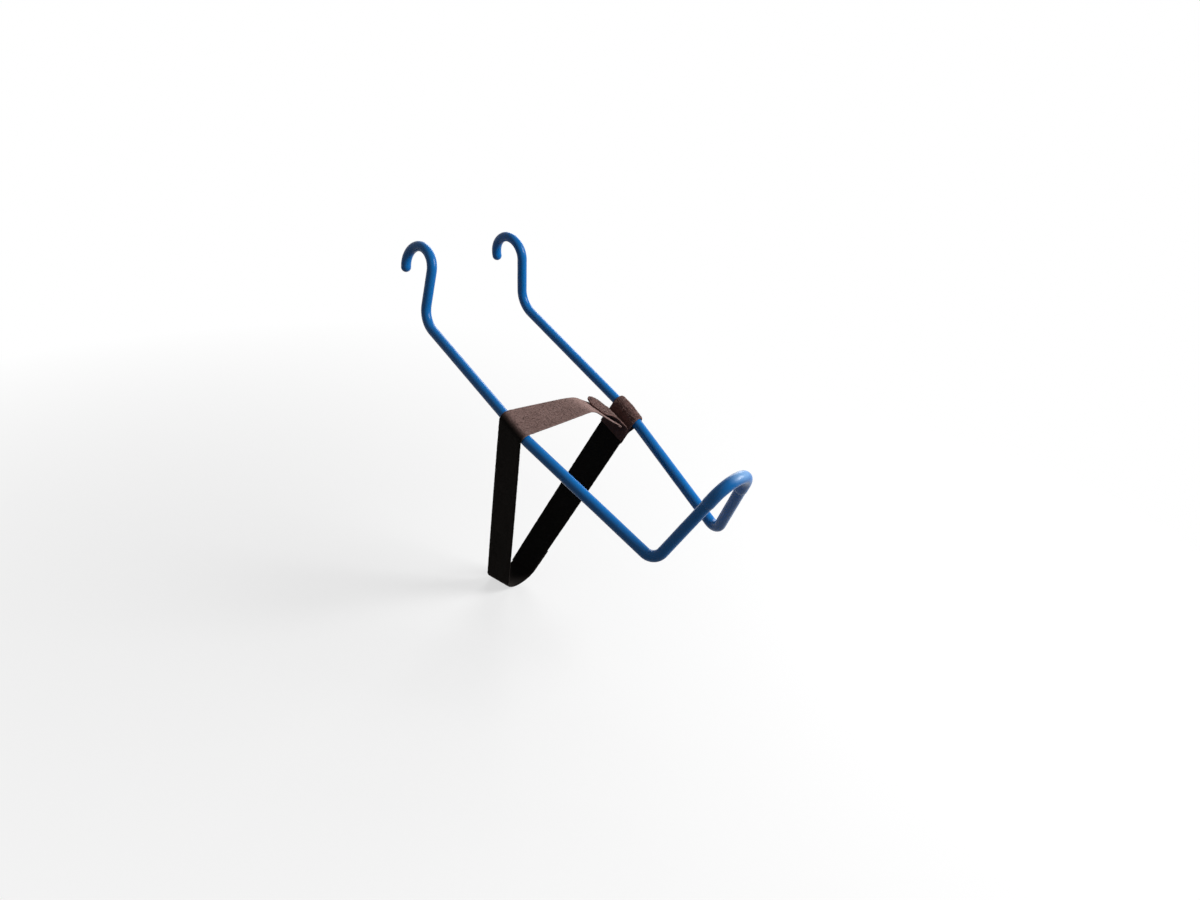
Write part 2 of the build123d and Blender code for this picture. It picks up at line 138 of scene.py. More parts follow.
# %% A material that hands out its nodes
class Finish:
    """One material, with its nodes made by node()."""

    def __init__(self, name):
        self.material = bpy.data.materials.new(name)
        self.material.use_nodes = True
        self.tree = self.material.node_tree
        self.tree.nodes.clear()

    def node(self, kind, settings=None, inputs=None, output=0):
        """Adds a node: its settings first, then the values or links of its sockets."""
        made = self.tree.nodes.new(kind)
        for name, value in (settings or {}).items():
            if name == "stops":
                self.set_stops(made.color_ramp, value)
            else:
                setattr(made, name, value)
        for name, value in (inputs or {}).items():
            if isinstance(value, Value):
                self.tree.links.new(value.socket, made.inputs[name])
            else:
                made.inputs[name].default_value = value
        return Value(self, made.outputs[output]) if made.outputs else made

    def set_stops(self, ramp, stops):
        while len(ramp.elements) < len(stops):
            ramp.elements.new(0.5)
        for element, (place, colour) in zip(ramp.elements, stops):
            element.position = place
            element.color = (*colour, 1)

    def noise(self, where, scale, detail=2.0, roughness=0.5):
        """Soft random values from 0 to 1, this many to the metre."""
        return self.node("ShaderNodeTexNoise", inputs={
            "Vector": where, "Scale": scale, "Detail": detail, "Roughness": roughness})

    def stretched(self, where, scale):
        """The same place with each direction scaled on its own."""
        return self.node("ShaderNodeMapping", inputs={"Vector": where, "Scale": scale})

    def blend(self, share, first, second):
        """A colour between two colours."""
        plain = [(*one, 1) if isinstance(one, tuple) else one for one in (first, second)]
        return self.node("ShaderNodeMix", {"data_type": "RGBA"},
                         {0: share, 6: plain[0], 7: plain[1]}, output=2)

    def bump(self, height, depth, under=None):
        """A normal from a height from 0 to 1 that is this deep, in metres."""
        inputs = {"Height": height, "Distance": depth, "Strength": 1.0}
        if under:
            inputs["Normal"] = under
        return self.node("ShaderNodeBump", inputs=inputs)

    def done(self, **sockets):
        """Feeds the surface shader and the output."""
        named = {name.replace("_", " "): value for name, value in sockets.items()}
        shader = self.node("ShaderNodeBsdfPrincipled", inputs=named)
        self.node("ShaderNodeOutputMaterial", inputs={"Surface": shader})
        print("material", self.material.name, len(self.tree.nodes), "nodes")
        return self.material


# %% [markdown]
# ## The floor and the light
#
# The object hangs on a bicycle, but a part for a library stands by itself, so it gets a plain pale
# floor just under its lowest point. A bright world would give a white background too, but it would
# also flood the object with light. So the white all round is only what camera rays and mirror rays
# see, through Light Path, and the object is lit by a dim world and three softboxes.


# %% Rays that should see white
def seen_directly(finish):
    """1 for rays from the camera, from a gloss or through glass, and 0 for light."""
    camera_ray = finish.node("ShaderNodeLightPath", output="Is Camera Ray")
    glossy_ray = finish.node("ShaderNodeLightPath", output="Is Glossy Ray")
    through_ray = finish.node("ShaderNodeLightPath", output="Is Transmission Ray")
    return camera_ray.most(glossy_ray).most(through_ray)


# %% A world that hands out its nodes in the same way
class WorldFinish(Finish):
    """The world's own node tree, used like a material."""

    def __init__(self, world):
        self.material = world
        world.use_nodes = True
        self.tree = world.node_tree
        self.tree.nodes.clear()


# %% World
AMBIENT = 0.07
world = bpy.data.worlds.new("studio")
bpy.context.scene.world = world
sky = WorldFinish(world)
seen = seen_directly(sky)
surround = sky.node("ShaderNodeBackground", inputs={
    "Color": (1, 1, 1, 1), "Strength": seen * (1 - AMBIENT) + AMBIENT})
sky.node("ShaderNodeOutputWorld", inputs={"Surface": surround})
bpy.context.scene.view_settings.view_transform = "Standard"
print("world strength for light", AMBIENT)

# %% [markdown]
# The floor is one big square. A large painted backdrop would show its own shading. Here the camera
# sees mostly plain white, and near the object some of the floor's real, shaded paint is mixed in, so
# that the shadow stays and the floor has no edge.

# %% Floor
FLOOR_GAP = 1 * mm
FLOOR_SIZE = 6
SHADOW_SHARE = 0.35
SHADOW_FALL = 1.6
floor_mesh = bmesh.new()
bmesh.ops.create_grid(floor_mesh, x_segments=1, y_segments=1, size=FLOOR_SIZE)
bmesh.ops.translate(floor_mesh, verts=floor_mesh.verts, vec=(0, 0, cad_box[0][2] - FLOOR_GAP))
floor_data = bpy.data.meshes.new("floor")
floor_mesh.to_mesh(floor_data)
floor_mesh.free()
floor = bpy.data.objects.new("floor", floor_data)
bpy.context.scene.collection.objects.link(floor)

pale = Finish("floor_paint")
seen = seen_directly(pale)
shade = pale.blend(seen, (0.16, 0.16, 0.16), (0.97, 0.97, 0.97))
paint = pale.node("ShaderNodeBsdfDiffuse", inputs={"Color": shade})
glow = pale.node("ShaderNodeEmission", inputs={"Color": (1, 1, 1, 1), "Strength": 1.0})
from_middle = pale.node("ShaderNodeVectorMath", {"operation": "LENGTH"},
                        {0: pale.node("ShaderNodeTexCoord", output=3)}, output=1)
nearby = (SHADOW_FALL - from_middle * SHADOW_FALL).clipped()
lit = pale.node("ShaderNodeMixShader", inputs={
    0: seen * (1 - nearby * SHADOW_SHARE), 1: paint, 2: glow})
pale.node("ShaderNodeOutputMaterial", inputs={"Surface": lit})
floor_data.materials.append(pale.material)
print("floor at", round(cad_box[0][2] - FLOOR_GAP, 4))

# %% [markdown]
# Three softboxes, all turned to the middle of the object. The key stands high on the camera's right
# and gives each round arm a light side and a dark side. A weak fill over the camera's left shoulder
# keeps the dark side readable, and one behind the object draws the top edges of rod and strap.

# %% Lamps
middle = Vector([(low + high) / 2 for low, high in zip(*cad_box)])
view_right = camera.rotation_euler.to_matrix() @ Vector((1, 0, 0))
view_ahead = camera.rotation_euler.to_matrix() @ Vector((0, 0, -1))
upwards = Vector((0, 0, 1))


def softbox(name, towards, distance, size, power):
    """A square lamp that looks at the middle of the object."""
    lamp = bpy.data.lights.new(name, "AREA")
    lamp.size = size
    lamp.energy = power
    stand = bpy.data.objects.new(name, lamp)
    stand.location = middle + towards.normalized() * distance
    stand.rotation_euler = (-towards).to_track_quat("-Z", "Y").to_euler()
    bpy.context.scene.collection.objects.link(stand)
    print("lamp", name, "at", [round(x, 2) for x in stand.location])


softbox("key", view_right * 0.86 - view_ahead * 0.1 + upwards * 0.47,
        distance=1.3, size=0.6, power=17.5)
softbox("fill", -view_right * 0.5 - view_ahead * 0.8 + upwards * 0.9,
        distance=1.6, size=1.2, power=1.1)
softbox("back", view_ahead * 0.9 + upwards * 0.78 + view_right * 0.1,
        distance=1.5, size=0.9, power=10)

# %% [markdown]
# ## Finishes
#
# The vinyl dip is a thick, glossy skin. One flat colour would look like paint on a drawing, because
# a real dip is never dead flat: it sets with a faint ripple, a fine grain and a colour that is a
# little deeper where the skin is thick. The sleeve on the bridge is a shrunk tube. It is a shade
# duller and has soft creases round the bend, and its top is painted pale as a painted highlight.


# %% Vinyl dip
PEEL_DEPTH = 0.001 * mm
RAGGED = 3 * mm


def vinyl(name, deep, bright, dull, crease, gloss, highlight_span=None):
    """Blue vinyl: ripple, orange peel and faint rubbed patches.

    dull is the least roughness, crease how deep the ripple is and gloss how strongly it mirrors.
    The last argument holds a direction, and between which places that way a painted highlight makes
    the skin pale.
    """
    finish = Finish(name)
    place = finish.node("ShaderNodeTexCoord", output=3)
    cloud = finish.noise(place, 38, detail=3)
    peel = finish.noise(place, 700, detail=1)
    ripple = finish.noise(place, 110, detail=1)
    rubbed = finish.noise(place, 60, detail=6, roughness=0.7)
    rub_mask = finish.node("ShaderNodeValToRGB", {"stops": [(0.58, (0, 0, 0)), (0.72, (1, 1, 1))]},
                           {0: rubbed})
    base = finish.blend(cloud, deep, bright)
    wear_and_painted_light = finish.blend(rub_mask * 0.05, base, (0.01, 0.25, 0.62))
    # Painted highlight: the sleeve's top over the bridge is painted pale.
    if highlight_span:
        out = finish.node("ShaderNodeVectorMath", {"operation": "DOT_PRODUCT"},
                          {0: place, 1: highlight_span[0]}, output=1)
        painted_highlight = finish.node("ShaderNodeMapRange", {"interpolation_type": "SMOOTHSTEP"},
                               {0: out + rubbed * RAGGED, 1: highlight_span[1], 2: highlight_span[2]})
        wear_and_painted_light = finish.blend(painted_highlight * 0.8, wear_and_painted_light, (0.24, 0.45, 0.75))
    rough = peel * 0.04 + rub_mask * 0.08 + cloud * 0.05 + dull
    skin = finish.bump(ripple, crease)
    grained = finish.bump(peel, PEEL_DEPTH, under=skin)
    return finish.done(Base_Color=wear_and_painted_light, Roughness=rough, Normal=grained, Specular_IOR_Level=gloss)


# Where the painted highlight lies: this far along the way the bridge leans.
BRIDGE_LEAN = Vector((-0.47, 0, 0.88))
HIGHLIGHT_FROM = 66.5 * mm
HIGHLIGHT_RUN = 6 * mm
dip_vinyl = vinyl("blue_vinyl_dip", (0.0, 0.143, 0.46), (0.0, 0.188, 0.58),
                  dull=0.20, crease=0.02 * mm, gloss=0.18)
sleeve_vinyl = vinyl("blue_shrunk_sleeve", (0.0, 0.138, 0.45), (0.0, 0.184, 0.57),
                     dull=0.26, crease=0.04 * mm, gloss=0.25,
                     highlight_span=(BRIDGE_LEAN, HIGHLIGHT_FROM, HIGHLIGHT_FROM + HIGHLIGHT_RUN))

# %% [markdown]
# Under the vinyl is a plain steel rod, drawn through a die, so its scratches run lengthwise. It could
# be left out, as the dip covers all of it. It is the CAD model's own rod, it stays, and it gets its
# real finish, in case someone cuts the model open.

# %% Drawn steel, inside the dip
steel = Finish("drawn_steel")
place = steel.node("ShaderNodeTexCoord", output=3)
drawn = steel.noise(steel.stretched(place, (60, 2400, 2400)), 1.0, detail=3)
stain = steel.noise(place, 90, detail=4)
steel_colour = steel.blend(stain, (0.42, 0.41, 0.40), (0.60, 0.60, 0.61))
drawn_steel = steel.done(Base_Color=steel_colour, Metallic=1.0, Roughness=drawn * 0.25 + 0.22,
                         Normal=steel.bump(drawn, 0.01 * mm))
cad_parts["steel_rod"].data.materials.clear()
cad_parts["steel_rod"].data.materials.append(drawn_steel)

# %% [markdown]
# ## The bent rod
#
# Sizes come from the bending drawing: a 116.4 mm hook spacing, a 28.6 mm hook bore, and the
# places and radii of the four bends of each half. X points to the front of the bicycle, Y to the
# rider's left and Z up, from the middle of the handlebar.

# %% Sizes of the rod
rod_radius = 4.0 * mm
dip_radius = rod_radius + 0.8 * mm
second_dip_radius = dip_radius + 0.4 * mm
sleeve_radius = second_dip_radius + 0.5 * mm
HOOK_BORE = 28.6 * mm
hook_radius = HOOK_BORE / 2 + dip_radius
hook_centre = Vector((0, 58.2, 0)) * mm
arm_bend = Vector((-16.4, 64.1, -47.6)) * mm
waist = Vector((-166.1, 67.9, -120.6)) * mm
corner = Vector((-302.5, 45.2, -190.8)) * mm
bridge_top = Vector((-345.2, 0, -110.9)) * mm
BRIDGE_RADIUS = 22.6 * mm
CORNER_RADIUS = 12 * mm
WAIST_RADIUS = 40 * mm
ARM_RADIUS = 23 * mm
SECOND_DIP_START = 8 * mm
SLEEVE_RUN = 7 * mm
TIP_ANGLE = radians(-12)
print("dipped rod", round(2 * dip_radius / mm, 1), "mm thick, second dip",
      round(2 * second_dip_radius / mm, 1), "mm, sleeve", round(2 * sleeve_radius / mm, 1), "mm")

# %% Where the hook leaves its shank
shank_lean = atan2(arm_bend.y - hook_centre.y, -arm_bend.z)
hook_up = Vector((0, -sin(shank_lean), cos(shank_lean)))
hook_ahead = Vector((1, 0, 0))
to_bend = arm_bend - hook_centre
bend_angle = atan2(to_bend.dot(hook_up), to_bend.dot(hook_ahead)) % (2 * pi)
shank_angle = bend_angle - (pi / 2 - asin(hook_radius / to_bend.length))
shank_turn = hook_ahead * cos(shank_angle) + hook_up * sin(shank_angle)
shank_top = hook_centre + shank_turn * hook_radius
print("the hook leaves its shank at", round(degrees(shank_angle)), "degrees")

# %% Where the two risers would meet, above the bridge
riser_foot = Vector((corner.x, 0, corner.z))
riser_up = (bridge_top - riser_foot).normalized()
riser_rise = (bridge_top - riser_foot).length
low, high = riser_rise, 10 * riser_rise
for _ in range(60):
    height = (low + high) / 2
    top = height - BRIDGE_RADIUS / sin(atan2(corner.y, height)) + BRIDGE_RADIUS
    low, high = (height, high) if top < riser_rise else (low, height)
peak = riser_foot + riser_up * height
print("the risers would meet", round((peak - bridge_top).length / mm, 1), "mm above the bridge")


# %% A bend as a machine makes it
def bend_ends(before, at, after, radius):
    """Where a rounded corner starts and ends, and the centre of its arc."""
    back = (before - at).normalized()
    ahead = (after - at).normalized()
    half = back.angle(ahead) / 2
    run = radius / tan(half)
    inward = (back + ahead).normalized() * (radius / sin(half))
    return at + back * run, at + ahead * run, at + inward


def bend_move(before, at, after, radius):
    """The spin that takes a ring round the corner: its centre, axis and angle."""
    start, end, centre = bend_ends(before, at, after, radius)
    axis = (start - centre).cross(end - centre).normalized()
    return centre, axis, (start - centre).angle(end - centre)


# %% The moves from the bridge's top to the hook's tip
corner_in, corner_out, _ = bend_ends(peak, corner, waist, CORNER_RADIUS)
waist_in, waist_out, _ = bend_ends(corner, waist, arm_bend, WAIST_RADIUS)
arm_in, arm_out, _ = bend_ends(waist, arm_bend, shank_top, ARM_RADIUS)
bridge_centre = bridge_top - riser_up * BRIDGE_RADIUS
down_riser = (corner - peak).normalized()
bridge_angle = Vector((0, 1, 0)).angle(down_riser)
bridge_axis = Vector((0, 1, 0)).cross(down_riser).normalized()
bridge_turn = Matrix.Rotation(bridge_angle, 3, bridge_axis)
bridge_end = bridge_centre + bridge_turn @ (bridge_top - bridge_centre)
hook_axis = hook_ahead.cross(hook_up)
moves = [
    (bridge_centre, bridge_axis, bridge_angle),
    corner_in - bridge_end,
    bend_move(peak, corner, waist, CORNER_RADIUS),
    waist_in - corner_out,
    bend_move(corner, waist, arm_bend, WAIST_RADIUS),
    arm_in - waist_out,
    bend_move(waist, arm_bend, shank_top, ARM_RADIUS),
    shank_top - arm_out,
    (hook_centre, hook_axis, TIP_ANGLE - shank_angle),
]
near_arm = (waist - arm_bend).normalized()
print("near arm points", [round(x, 3) for x in near_arm])

# %% [markdown]
# A ring of edges is the mouth of the tube. Extruding it along a straight run, or spinning it
# round a bend, leaves the tube's wall behind it. One half is swept from the top of the bridge to
# the tip of a hook and mirrored, so both hooks match.


# %% Sweep half a tube
SIDES = 40
RING_PITCH = 2.2 * mm


def open_ring(mesh, radius):
    """The starting ring, square to the rod at the bridge's top."""
    turn = Vector((0, 1, 0)).to_track_quat("Z", "X").to_matrix().to_4x4()
    made = bmesh.ops.create_circle(mesh, segments=SIDES, radius=radius,
                                   matrix=Matrix.Translation(bridge_top) @ turn)
    return list({edge for vert in made["verts"] for edge in vert.link_edges})


def push(mesh, ring, shift, wider=1.0):
    """Extrudes a ring by this shift, and makes it wider or narrower."""
    made = bmesh.ops.extrude_edge_only(mesh, edges=ring)["geom"]
    verts = [part for part in made if isinstance(part, bmesh.types.BMVert)]
    bmesh.ops.translate(mesh, verts=verts, vec=shift)
    centre = sum((vert.co for vert in verts), Vector()) / len(verts)
    bmesh.ops.scale(mesh, verts=verts, vec=(wider,) * 3, space=Matrix.Translation(-centre))
    return [part for part in made if isinstance(part, bmesh.types.BMEdge) and part.is_boundary]


def carry(mesh, ring, move):
    """Takes the ring along one straight run or round one bend, in steps that suit its outside."""
    if isinstance(move, Vector):
        steps = max(1, round(move.length / RING_PITCH))
        for _ in range(steps):
            ring = push(mesh, ring, move / steps)
        return ring
    centre, axis, angle = move
    verts = list({vert for edge in ring for vert in edge.verts})
    outside = max((vert.co - centre).length for vert in verts)
    steps = max(4, round(abs(angle) * outside / RING_PITCH))
    made = bmesh.ops.spin(mesh, geom=verts + ring, cent=centre, axis=axis, angle=angle, steps=steps)
    return [part for part in made["geom_last"] if isinstance(part, bmesh.types.BMEdge)]


LAST_RING = 0.15


def close_tip(mesh, ring, heading, radius):
    """Rounds the end of the tube over with a dome of shrinking rings."""
    steps = 10
    for step in range(steps):
        here, there = (pi / 2 * share / steps for share in (step, step + 1))
        wider = cos(there) / cos(here) if step < steps - 1 else LAST_RING
        ring = push(mesh, ring, heading * (sin(there) - sin(here)) * radius, wider)
    bmesh.ops.edgeloop_fill(mesh, edges=ring)


FEATHER_RUN = 3 * mm
FEATHER_SUNK = 0.03 * mm


def feather(mesh, ring, heading, radius, under):
    """Thins a dipped skin out to the skin below it."""
    steps = 6
    size = radius
    for step in range(1, steps + 1):
        wanted = under + (radius - under) * cos(pi / 2 * step / steps) - FEATHER_SUNK
        ring = push(mesh, ring, heading * FEATHER_RUN / steps, wanted / size)
        size = wanted


# %% Finish a swept half
def piece(mesh, name, material, shaded=True):
    """Makes a bmesh into an object at the origin, in the frame's own directions."""
    data = bpy.data.meshes.new(name)
    mesh.to_mesh(data)
    mesh.free()
    data.materials.append(material)
    data.polygons.foreach_set("use_smooth", [shaded] * len(data.polygons))
    made = bpy.data.objects.new(name, data)
    bpy.context.scene.collection.objects.link(made)
    print(name, len(data.polygons), "faces")
    return made


SWELLS = 70


def whole_rod(mesh, ripple, seed):
    """Mirrors the half, closes the join and gives the skin its uneven thickness."""
    bmesh.ops.mirror(mesh, geom=mesh.verts[:] + mesh.edges[:] + mesh.faces[:], axis="Y",
                     merge_dist=0.01 * mm)
    bmesh.ops.remove_doubles(mesh, verts=mesh.verts, dist=0.01 * mm)
    bmesh.ops.recalc_face_normals(mesh, faces=mesh.faces)
    mesh.normal_update()
    for vert in mesh.verts:
        swell = noise.noise(vert.co * SWELLS + Vector((seed, 0, 0)))
        vert.co += vert.normal * swell * ripple


def swept(radius, some_moves):
    """Half a tube of this radius along these moves, and the ring at its open end."""
    mesh = bmesh.new()
    ring = open_ring(mesh, radius)
    for move in some_moves:
        ring = carry(mesh, ring, move)
    return mesh, ring


def add_wall(skin, thickness):
    """Gives a swept skin its wall, inwards from its outer face."""
    wall = skin.modifiers.new("wall", "SOLIDIFY")
    wall.thickness = thickness
    wall.offset = -1


# %% [markdown]
# ## Three skins
#
# The first dip covers the whole rod and closes over both hook tips in a dome. It could be one solid
# tube, but a skin with a wall of its own is what the dip really is, and so its open places are right.

# %% First dip, over the whole rod
dip_mesh, ring = swept(dip_radius, moves)
tip_heading = hook_ahead * sin(TIP_ANGLE) - hook_up * cos(TIP_ANGLE)
close_tip(dip_mesh, ring, tip_heading, dip_radius)
whole_rod(dip_mesh, ripple=0.06 * mm, seed=1)
vinyl_dip = piece(dip_mesh, "vinyl_dip", dip_vinyl)
add_wall(vinyl_dip, dip_radius - rod_radius)
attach(vinyl_dip, "holder")
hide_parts("dip_coat")

# %% [markdown]
# The lower half goes into the vat twice, because it rubs on the frame. The second skin starts a
# little above the waist, under the strap, and is feathered out to the first. A sharp step would be
# simpler, but a dip always runs out thin.

# %% Second dip, over the lower half
second_mesh, ring = swept(second_dip_radius, moves[:5] + [-near_arm * SECOND_DIP_START])
feather(second_mesh, ring, -near_arm, second_dip_radius, dip_radius)
whole_rod(second_mesh, ripple=0.08 * mm, seed=5)
second_dip = piece(second_mesh, "second_dip", dip_vinyl)
add_wall(second_dip, second_dip_radius - dip_radius)
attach(second_dip, "holder")
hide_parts("yoke_coat")

# %% [markdown]
# The bridge lies on the top tube's paint, so a soft sleeve is shrunk over its bend. It is swept with
# the same moves and a larger ring, which is surer than scaling a copy, and it ends just past the bend.

# %% Shrunk sleeve, over the bridge
sleeve_mesh, ring = swept(sleeve_radius, moves[:1] + [down_riser * SLEEVE_RUN])
feather(sleeve_mesh, ring, down_riser, sleeve_radius, second_dip_radius)
whole_rod(sleeve_mesh, ripple=0.12 * mm, seed=9)
bridge_cover = piece(sleeve_mesh, "bridge_cover", sleeve_vinyl)
add_wall(bridge_cover, sleeve_radius - second_dip_radius)
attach(bridge_cover, "holder")
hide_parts("bridge_sleeve")

# %% [markdown]
# ## The way of the strap
#
# The strap starts under the closing tab on the far side, goes over the top tube to the near arm,
# over that arm, down the near side, round under the frame and up the far side, where a second
# tape takes over and ends in a sewn eye round the far arm.
#
# A way is a list of lies: a point on the tape's middle, the direction across the tape and the
# direction out of its face. They are worked out in the strap's own directions, sideways and
# square to the arms, so that each stretch is an arc or a straight line in two numbers.

# %% The strap's own directions and its sizes
TAPE_WIDTH = 32 * mm
TAPE = 2.0 * mm
SLACK = 0.3 * mm
along = Vector((near_arm.x, 0, near_arm.z)).normalized()
square = Vector((along.z, 0, -along.x))
sideways = Vector((0, 1, 0))
strap_origin = Vector((waist.x, 0, waist.z))
wrap_radius = second_dip_radius + SLACK + TAPE / 2
far_side = Vector((1, -1, 1))
far_waist = waist * far_side
far_waist_in = waist_out * far_side
far_waist_out = waist_in * far_side
far_arm = near_arm * far_side
far_leg = (corner - waist).normalized() * far_side
print("strap", round(TAPE_WIDTH / mm), "mm wide and", round(TAPE / mm), "mm thick")


def lie(side, up, back, polar, twist=0.0, yaw=0.0, lift=0.0):
    """One lie of a tape: its middle, the way across it and the way out of its face."""
    facing = sideways * cos(radians(polar)) + square * sin(radians(polar))
    across = along * cos(radians(twist)) + square * sin(radians(twist)) + sideways * yaw
    across = across.normalized()
    facing = (facing - across * facing.dot(across)).normalized()
    centre = strap_origin + sideways * side + square * up + along * back + facing * lift
    return centre, across, facing


def between(first, last, count):
    """Evenly spaced steps from one station to another, both included."""
    shares = [step / (count - 1) for step in range(count)]
    return [tuple(a + (b - a) * share for a, b in zip(first, last)) for share in shares]


def round_arc(centre, radius, first, last, count, rest):
    """Stations round an arc; rest holds how far back they lie, their twist and their yaw."""
    return [(centre[0] + radius * cos(radians(polar)), centre[1] + radius * sin(radians(polar)),
             rest[0], polar, rest[1], rest[2]) for (polar,) in between((first,), (last,), count)]


def tight_polar(first, first_radius, second, second_radius, turn):
    """Which way the face looks where a tape is drawn tight round two arcs, in degrees."""
    gap = (first[0] - second[0], first[1] - second[1])
    half = degrees(acos((second_radius - first_radius) / hypot(*gap)))
    return degrees(atan2(gap[1], gap[0])) + turn * half


# %% Where the strap touches the arms
WRAP_BACK = 17
arm_yaw = near_arm.y / near_arm.dot(along)
wrap_middle = waist + near_arm * -WRAP_BACK * mm
wrap_centre = (wrap_middle.y, 0.0)
wrap_rest = (-WRAP_BACK * mm, 0.0, arm_yaw)
waist_run = (waist - waist_out).length
EYE_PLACE = 2.6 * mm
eye_from = far_waist_in - far_arm * (TAPE_WIDTH / 2 - EYE_PLACE - waist_run)
eye_to = far_waist_out + far_leg * (TAPE_WIDTH / 2 + EYE_PLACE - waist_run)
eye_chord = eye_to - eye_from
eye_middle = (eye_from + eye_to) / 2 - strap_origin
eye_centre = (eye_middle.y, eye_middle.dot(square))
eye_twist = degrees(atan2(eye_chord.dot(square), eye_chord.dot(along)))
eye_yaw = eye_chord.y / eye_chord.dot(along)
eye_rest = (eye_middle.dot(along), eye_twist, eye_yaw)
print("the eye is twisted", round(eye_twist, 1), "degrees with the bend of the far arm")

# %% Where it turns under the frame and over the top tube
TURN_DEPTH = 201.7 * mm
TURN_BACK = 12.2 * mm
TURN_TWIST = 26.0
turn_centre = (0.0, -TURN_DEPTH)
turn_radius = 19 * mm
turn_rest = (TURN_BACK, TURN_TWIST, 0.0)
lap_step = TAPE + SLACK
CREST_SIDE = 3 * mm
CREST_RADIUS = 22 * mm
CREST_HEIGHT = 19.3 * mm
crest_centre = (CREST_SIDE, CREST_HEIGHT - CREST_RADIUS)
cross_polar = tight_polar(wrap_centre, wrap_radius, crest_centre, CREST_RADIUS, 1)
near_polar = tight_polar(wrap_centre, wrap_radius, turn_centre, turn_radius, -1)
far_polar = tight_polar(eye_centre, -wrap_radius, turn_centre, turn_radius - lap_step, 1)
print("faces look", round(cross_polar, 1), round(near_polar, 1), round(far_polar, 1), "degrees")

# %% The far run, from the turn up to the eye
far_low = round_arc(turn_centre, turn_radius - lap_step, far_polar, far_polar, 2, turn_rest)[0]
far_top = round_arc(eye_centre, -wrap_radius, far_polar, far_polar, 2, eye_rest)[0]
far_length = hypot(far_top[0] - far_low[0], far_top[1] - far_low[1])


def on_far_run(distance):
    """Station of the far run, this far up from the turn."""
    share = distance / far_length
    return tuple(low + (high - low) * share for low, high in zip(far_low, far_top))


def shifted(station, out, turned=0.0):
    """The same station moved out of its face, with its angle counted from another turn."""
    side, up, back, polar, twist, yaw = station
    return (side + out * cos(radians(polar)), up + out * sin(radians(polar)), back,
            polar + turned, twist, yaw)


print("far run", round(far_length / mm, 1), "mm")

# %% [markdown]
# The top tube slopes, and the strap lies flat on it, so the cross run can't stay level with the
# arms. It could be turned there by hand, point by point. Instead it rolls a little more with every
# step towards the crest, and back again on the far side, as a drawn tape does.


# %% The cross run, over the top tube and down to its end
SLOPE = 0.52
slope_angle = atan2(SLOPE, 1)
end_polar = 90 + degrees(slope_angle)
waist_half = waist.y
strap_width = wrap_centre[0] + waist_half
CROSS_END = 18.9 * mm
cross_end_side = CROSS_END - waist_half
crest_leave = round_arc(crest_centre, CREST_RADIUS, end_polar, end_polar, 2, turn_rest)[0]
ROLL = 20.0


def cross_station(side, up, polar):
    """Station of the cross run, rolled to lie flat on the sloping top tube."""
    share = (wrap_centre[0] - side) / strap_width
    back = wrap_rest[0] + (EYE_PLACE - wrap_rest[0]) * share
    if side > CREST_SIDE:
        roll = ROLL * min(1.0, (wrap_centre[0] - side) / (wrap_centre[0] - CREST_SIDE))
    else:
        roll = ROLL * max(0.0, 1 - (CREST_SIDE - side) / (CREST_SIDE + waist_half))
    return (side, up, back, polar, roll, arm_yaw + (eye_yaw - arm_yaw) * share)


def falling(side):
    """Station on the cross run's falling end, this far to the side."""
    return cross_station(side, crest_leave[1] - SLOPE * (crest_leave[0] - side), end_polar)


print("past the crest the cross run falls at", round(degrees(slope_angle)), "degrees")

# %% [markdown]
# A way made of arcs and lines still has a small jerk at each join. Sampling it every millimetre
# and averaging a few neighbours takes that out, as cloth would, and its running length then says
# how long the tape has to be cut.


# %% From stations to a smooth way
class Way:
    """A tape's way: lies at even steps, and the lie at any distance along it."""

    def __init__(self, lies, soft):
        self.lies = lies
        self.step = 1 * mm
        self.resample()
        for _ in range(soft):
            self.average()
        self.resample()

    def marks(self):
        """Running length at each lie."""
        total, found = 0.0, [0.0]
        for (here, *_), (there, *_) in zip(self.lies, self.lies[1:]):
            total += (there - here).length
            found.append(total)
        return found

    def resample(self):
        marks = self.marks()
        self.length = marks[-1]
        count = max(2, round(self.length / self.step))
        found, index = [], 0
        for number in range(count + 1):
            place = self.length * number / count
            while index < len(marks) - 2 and marks[index + 1] < place:
                index += 1
            share = (place - marks[index]) / max(marks[index + 1] - marks[index], 1e-9)
            found.append(mixed(self.lies[index], self.lies[index + 1], share))
        self.lies = found
        self.spacing = self.length / count

    def average(self):
        ends = self.lies[0], self.lies[-1]
        inner = [mixed(mixed(before, after, 0.5), here, 0.34)
                 for before, here, after in zip(self.lies, self.lies[1:], self.lies[2:])]
        self.lies = [ends[0], *inner, ends[1]]

    def at(self, distance):
        """The lie this far along, and straight on past both ends."""
        place = distance / self.spacing
        index = min(max(int(place), 0), len(self.lies) - 2)
        return mixed(self.lies[index], self.lies[index + 1], place - index)


def mixed(first, second, share):
    """A lie part of the way from one lie to another."""
    centre = first[0].lerp(second[0], share)
    across = first[1].lerp(second[1], share).normalized()
    facing = first[2].lerp(second[2], share)
    facing = (facing - across * facing.dot(across)).normalized()
    return centre, across, facing


# %% [markdown]
# A cut end of brushed cloth frays, so the loop tape starts in a hem: it is folded back under itself
# and sewn. A short tape of its own would be simpler, but the real hem is the same cloth going round
# a tight fold. So the way starts upside down, under the tape, and turns round its own end.

# %% The loop tape's way, from its folded hem to the lap
HEM_LENGTH = 7 * mm
FOLD_RADIUS = 0.5 * mm
FOLDED_HALF = 0.45 * mm
FOLD_UP = 0.4 * mm
FOLD_STEPS = 8
fold_side = cross_end_side + (FOLD_RADIUS + FOLDED_HALF) * cos(slope_angle)


